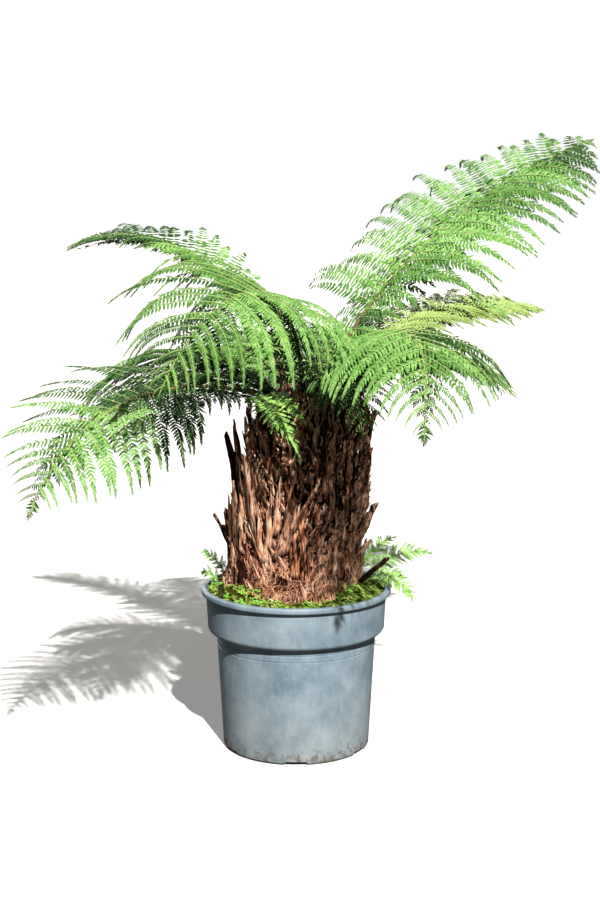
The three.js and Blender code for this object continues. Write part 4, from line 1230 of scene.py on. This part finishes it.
def midrib(rule):
    # the part's own rule: the midrib's points, and at each point along, side and face directions
    share = np.linspace(0, 1, rule["steps"] + 1)

    def directions(at):
        slope = np.radians(mix(rule["rise"], rule["fall"], at ** rule["bend"]))
        heading = np.radians(rule["azimuth"] + rule["sweep"] * at)
        level = compass(heading)
        return level * np.cos(slope)[:, None] + np.array([0, 0, 1]) * np.sin(slope)[:, None], heading

    between, _ = directions((share[1:] + share[:-1]) / 2)
    root = np.array(rule.get("root", crown)) + rule["seat"] * compass(np.radians(rule["azimuth"]))
    points = np.vstack([root, root + np.cumsum(between * rule["length"] / rule["steps"], axis=0)])
    along, heading = directions(share)
    level = np.stack([np.sin(heading), -np.cos(heading), 0 * heading], -1)
    up = np.cross(level, along)
    turn = np.radians(rule["roll"] + rule["twist"] * share)[:, None]
    side = np.cos(turn) * level + np.sin(turn) * up
    face = np.cos(turn) * up - np.sin(turn) * level
    return {"points": points, "along": along, "side": side, "face": face}


def ribAt(rib, share):
    # a point and its directions at any share of the midrib's length
    place = np.clip(share, 0, 1) * (len(rib["points"]) - 1)
    low = np.minimum(np.floor(place).astype(int), len(rib["points"]) - 2)
    part = (place - low)[:, None]
    return {key: rows[low] * (1 - part) + rows[low + 1] * part for key, rows in rib.items()}


def leafShare(rule, share):
    # how long a leaflet is at a place along the midrib, as a share of the longest
    climb = np.clip((share - rule["firstLeaf"]) / (rule["widest"] - rule["firstLeaf"]), 0, 1)
    rest = np.clip((share - rule["widest"]) / (1 - rule["widest"]), 0, 1)
    rising = mix(rule["rootShare"], 1, np.sin(np.pi / 2 * climb) ** 0.9)
    return np.where(share < rule["widest"], rising, 1 - 0.97 * rest ** rule["taper"])


def leafletCourses(rule, rib, random, steps=12):
    # every leaflet's rib: leaves the midrib at the fan angle, then bows under its weight without twisting
    count = round((rule["lastLeaf"] - rule["firstLeaf"]) * rule["length"] / rule["spacing"])
    share = mix(rule["firstLeaf"], rule["lastLeaf"], (np.arange(count) + 0.5) / count)
    courses, habit = [], leafletHabit
    for hand in (1, -1):
        at = share + hand * habit["offset"] / count + random.normal(0, habit["spacing"] / count, count)
        at = np.clip(at, 0, 1)
        here = ribAt(rib, at)
        fan = mix(rule["fanIn"], rule["fanOut"], at) + random.normal(0, habit["fan"], count)
        fan = np.radians(fan)[:, None]
        lift = np.broadcast_to(rule["lift"], 2)[0 if hand == 1 else 1] + rule["arch"]
        lift = np.radians(lift + random.normal(0, habit["lift"], count))[:, None]
        droop = rule["droop"] + habit["archDroop"] * rule["arch"]
        droop = droop + random.normal(0, habit["droop"], count)[:, None]
        start = (np.cos(fan) * here["along"] + hand * np.cos(lift) * np.sin(fan) * here["side"]
                 + np.sin(lift) * np.sin(fan) * here["face"])
        vigour = random.uniform(habit["shortest"], habit["longest"], count)
        length = (rule["leaf"] * leafShare(rule, at) * vigour)[:, None]
        for side, upTo, part in rule["early"]:
            if side == hand:
                length *= mix(part, 1, np.clip((at[:, None] - upTo) / habit["earlyFade"] + 0.5, 0, 1))
        point = here["points"] + rule["ribRise"] * here["face"] - hand * rule["ribInset"] * here["side"]
        points, headings = [point], []
        for i in range(steps):
            u = (i + 0.5) / steps
            sag = np.minimum(habit["mostSag"], droop * u ** habit["sagPower"])
            heading = unit((1 - sag) * start + rule["curl"] * u * here["along"] - sag * np.array([0, 0, 1]))
            headings.append(heading)
            point = point + heading * length / steps
            points.append(point)
        headings.append(headings[-1])
        run = unit(points[-1] - points[0])
        across = unit(here["along"] - run * np.sum(here["along"] * run, -1, keepdims=True)) * -hand
        roll = np.radians(random.normal(0, rule["tilt"], count))[:, None]
        faces = []
        toLight = np.broadcast_to(rule["toLight"], 2)[0 if hand == 1 else 1]
        for heading in headings:
            square = unit(np.cross(across, heading))
            lit = rule["light"] - heading * np.sum(heading * rule["light"], -1, keepdims=True)
            faces.append(unit(np.cos(roll) * square + np.sin(roll) * across + toLight * lit))
        reach = rule["pinnuleReach"] * rule["spacing"] * np.sin(fan)
        reach = reach * np.minimum(1, length / rule["fullLeaf"])
        courses += [
            dict(points=line, faces=up, reach=float(r), at=float(s), hand=hand)
            for line, up, r, s in zip(np.stack(points, 1), np.stack(faces, 1), reach[:, 0], at)
        ]
    return courses


def underLeaflets(rule, rib):
    # shorter leaflets below the others, in the frond's own shade near the midrib, all in the deep green:
    # painted shade that fills the gaps between the leaflets there
    random = np.random.default_rng(rule["seed"] + 40)
    lower = {**rib, "points": rib["points"] - rule["underDrop"] * rib["face"]}
    shorter = {"leaf": rule["under"] * rule["leaf"], "lift": np.array(rule["lift"]) - 10,
               "toLight": 0.1, "fullLeaf": 0.05}
    courses = leafletCourses({**rule, **shorter}, lower, random)
    for course in courses:
        # tone 2 is the deep green, laid here as painted shade
        course["tone"] = 2
        course["girth"] = 0.5 * rule["leafletRib"]
    return courses


def breadthAlong(u):
    # a pinnule's length along a leaflet: full past the root, then drawn out to a thin tail
    return np.interp(u, (0, 0.08, 0.34, 0.5, 0.7, 0.85, 1), (0.85, 1, 1, 0.90, 0.74, 0.60, 0.52))


def ribHost(name, courses):
    # the leaflets' ribs as bare edges that carry what the node trees need
    points, edges, face, breadth, tone, girth = [], [], [], [], [], []
    for course in courses:
        first, count = len(points), len(course["points"])
        u = np.linspace(0, 1, count)
        points += course["points"].tolist()
        edges += [(first + i, first + i + 1) for i in range(count - 1)]
        face += course["faces"].tolist()
        breadth += (course["reach"] * breadthAlong(u)).tolist()
        tone += [course["tone"]] * count
        girth += (course["girth"] * (1 - 0.6 * u)).tolist()
    mesh = bpy.data.meshes.new(name)
    mesh.from_pydata(points, edges, [])
    mesh.attributes.new("face", "FLOAT_VECTOR", "POINT").data.foreach_set("vector", np.ravel(face))
    mesh.attributes.new("breadth", "FLOAT", "POINT").data.foreach_set("value", breadth)
    mesh.attributes.new("girth", "FLOAT", "POINT").data.foreach_set("value", girth)
    mesh.attributes.new("tone", "INT", "POINT").data.foreach_set("value", tone)
    host = bpy.data.objects.new(name, mesh)
    bpy.context.scene.collection.objects.link(host)
    return host


def toneOf(rule, course, random):
    # the leaflet's green: smoothly varied along the frond, so that neighbours are alike
    for side, upTo, shares in rule["tones"]:
        if side in (0, course["hand"]) and course["at"] <= upTo:
            break
    wave = noise.noise(Vector((7 * course["at"], 2.3 * course["hand"], rule["azimuth"])))
    spread = min(0.999, max(0, 0.5 + 0.75 * wave + random.normal(0, 0.12)))
    return int(np.searchsorted(np.cumsum(shares), spread * sum(shares)))


# the midrib's own form: shares of its radius, but the groove's width is in radians and brownTo and
# youngBrown say how far along it is brown at all, and how brown one that stands in the moss is at its foot
stalkShape = {
    "sides": 10, "swell": 0.45, "thinning": 0.55, "groove": 0.22, "grooveWidth": 0.35,
    "brownTo": 0.9, "youngBrown": 0.25,
}


def stalkPiece(name, rule, rib):
    # the midrib as a tube, thicker where it sits on the trunk, with a shallow groove on its upper side
    sides = stalkShape["sides"]
    share = np.linspace(0, 1, rule["steps"] + 1)
    onStalk = np.clip(1 - share / (rule["stalk"] / rule["length"] + 1e-9), 0, 1)
    swell = 1 + stalkShape["swell"] * onStalk ** 0.5 if rule["seat"] else 1
    radius = mix(rule["ribFoot"], rule["ribTip"], share ** stalkShape["thinning"]) * swell
    angle = np.arange(sides) * 2 * np.pi / sides
    groove = 1 - stalkShape["groove"] * np.exp(-((angle - np.pi / 2) / stalkShape["grooveWidth"]) ** 2)
    ring = (np.cos(angle) * groove)[None, :, None] * rib["side"][:, None, :]
    ring = ring + (np.sin(angle) * groove)[None, :, None] * rib["face"][:, None, :]
    points = rib["points"][:, None, :] + ring * radius[:, None, None]
    if rule["seat"]:
        age = np.clip(1 - share / stalkShape["brownTo"], 0, 1) ** 1.2
    else:
        age = stalkShape["youngBrown"] * (1 - share)
    piece = meshPiece(name, points.reshape(-1, 3), tubeFaces(len(share), sides), [frondStalk],
                      attributes={"age": np.repeat(age, sides)})
    return outward(piece)


def growFrond(name, rule, nodes, slot):
    random = np.random.default_rng(rule["seed"] + sum(map(ord, name)))
    rib = midrib(rule)
    courses = leafletCourses(rule, rib, random)
    for course in courses:
        course["tone"] = toneOf(rule, course, random)
        course["girth"] = rule["leafletRib"]
    if rule["under"] > 0:
        courses += underLeaflets(rule, rib)
    tip = ribAt(rib, np.linspace(rule["lastLeaf"] - 0.03, 1, 13))
    courses.append(dict(points=tip["points"], faces=tip["face"], reach=rule["tipReach"] * rule["leaf"],
                        tone=courses[-1]["tone"], girth=rule["ribTip"]))
    host = ribHost(name + "Host", courses)
    blades = grown(name + "Blades", host, pinnulesAlongRibs, {
        "Pinnule": pinnule, "Small pinnule": smallPinnule, "Spacing": rule["pinnuleSpacing"],
        "Breadth of one": rule["pinnuleWidth"], "Seed": rule["seed"],
        **{f"Tone {i}": tone for i, tone in enumerate(leafTones)},
    })
    ribs = grown(name + "Ribs", host, tubesAlongRibs, {"Skin": ribPale})
    discard(host)
    pieces = (blades, ribs, stalkPiece(name + "Stalk", rule, rib))
    return sum(finished(piece, slot, *nodes) for piece in pieces)


def nodeWords(name):
    # upperRight as upper_right, the way the model's nodes are named
    return "".join("_" + letter.lower() if letter.isupper() else letter for letter in name)


pinnule, smallPinnule = pinnuleTemplate(), smallPinnuleTemplate()
total = 0
for name, row in frondRows.items():
    nodes = [f"frond_{nodeWords(name)}_{part}" for part in ("inner", "outer")]
    total += growFrond("frond" + name[0].upper() + name[1:], {**frond, **row}, nodes, "frond")
print("fronds grown:", total, "triangles")
total = 0
for name, row in youngRows.items():
    total += growFrond(name, {**frond, **youngFrond, **row}, ["frond_" + nodeWords(name)], "young_frond")
for name, row in sprigRows.items():
    total += growFrond("sprig" + name[0].upper() + name[1:], {**frond, **sprig, **row},
                       ["sprig_" + nodeWords(name)], "sprig")
print("young fronds and sprigs grown:", total, "triangles")
discard(pinnule, smallPinnule)


# stage: floor, light and camera

camera = {"side": 0.0083, "distance": 3.33, "height": 1.17, "tiltDown": 0.1603, "lens": 64.76}
light = {"sun": 6.2, "sunSoftness": 0.7, "sunFrom": (0.190, -0.724, 0.663), "sky": 0.11, "backdrop": 1.0,
         "back": 1.5, "backSoftness": 50, "backFrom": (-0.35, 0.85, 0.45),
         "floorSeen": "#f6f6f4", "floorBounce": "#4a4a48"}


def paleFloor():
    material, tree, shader, _ = newMaterial("paleStudioFloor", 0.9, specular=0.1)
    path = addNode(tree, "ShaderNodeLightPath")
    shade = addNode(tree, "ShaderNodeMix", {
        0: path.outputs["Is Camera Ray"], 6: light["floorBounce"], 7: light["floorSeen"],
    }, data_type="RGBA")
    tree.links.new(shade.outputs[2], shader.inputs["Base Color"])
    reach = 40
    corners = [(-reach, -reach, 0), (reach, -reach, 0), (reach, reach, 0), (-reach, reach, 0)]
    floor = meshPiece("floor", corners, [(0, 1, 2, 3)], [material], smooth=False)


def farLight(name, strength, softness, direction, colour):
    sun = bpy.data.lights.new(name, "SUN")
    sun.energy = strength
    sun.angle = math.radians(softness)
    sun.color = colour
    lamp = bpy.data.objects.new(name, sun)
    lamp.rotation_euler = Vector(direction).to_track_quat("Z", "Y").to_euler()
    bpy.context.scene.collection.objects.link(lamp)


def studioLight():
    farLight("key", light["sun"], light["sunSoftness"], light["sunFrom"], (1.0, 0.97, 0.92))
    farLight("back", light["back"], light["backSoftness"], light["backFrom"], (1.0, 1.0, 1.0))
    world = bpy.data.worlds.new("paleStudio")
    bpy.context.scene.world = world
    world.use_nodes = True
    tree = world.node_tree
    tree.nodes.clear()
    seen = addNode(tree, "ShaderNodeBackground", {"Color": (1, 1, 1, 1), "Strength": light["backdrop"]})
    fill = addNode(tree, "ShaderNodeBackground", {"Color": (1, 0.98, 0.94, 1), "Strength": light["sky"]})
    path = addNode(tree, "ShaderNodeLightPath")
    both = addNode(tree, "ShaderNodeMixShader", {
        0: path.outputs["Is Camera Ray"], 1: fill.outputs[0], 2: seen.outputs[0],
    })
    addNode(tree, "ShaderNodeOutputWorld", {"Surface": both.outputs[0]})


def photoCamera():
    lens = bpy.data.cameras.new("photoCamera")
    lens.lens = camera["lens"]
    lens.sensor_width = 36
    lens.clip_end = 200
    view = bpy.data.objects.new("photoCamera", lens)
    view.location = (camera["side"], -camera["distance"], camera["height"])
    view.rotation_euler = (math.pi / 2 - camera["tiltDown"], 0, 0)
    bpy.context.scene.collection.objects.link(view)
    bpy.context.scene.camera = view


paleFloor()
studioLight()
photoCamera()
bpy.context.scene.view_settings.view_transform = "Standard"
print("scene ready")
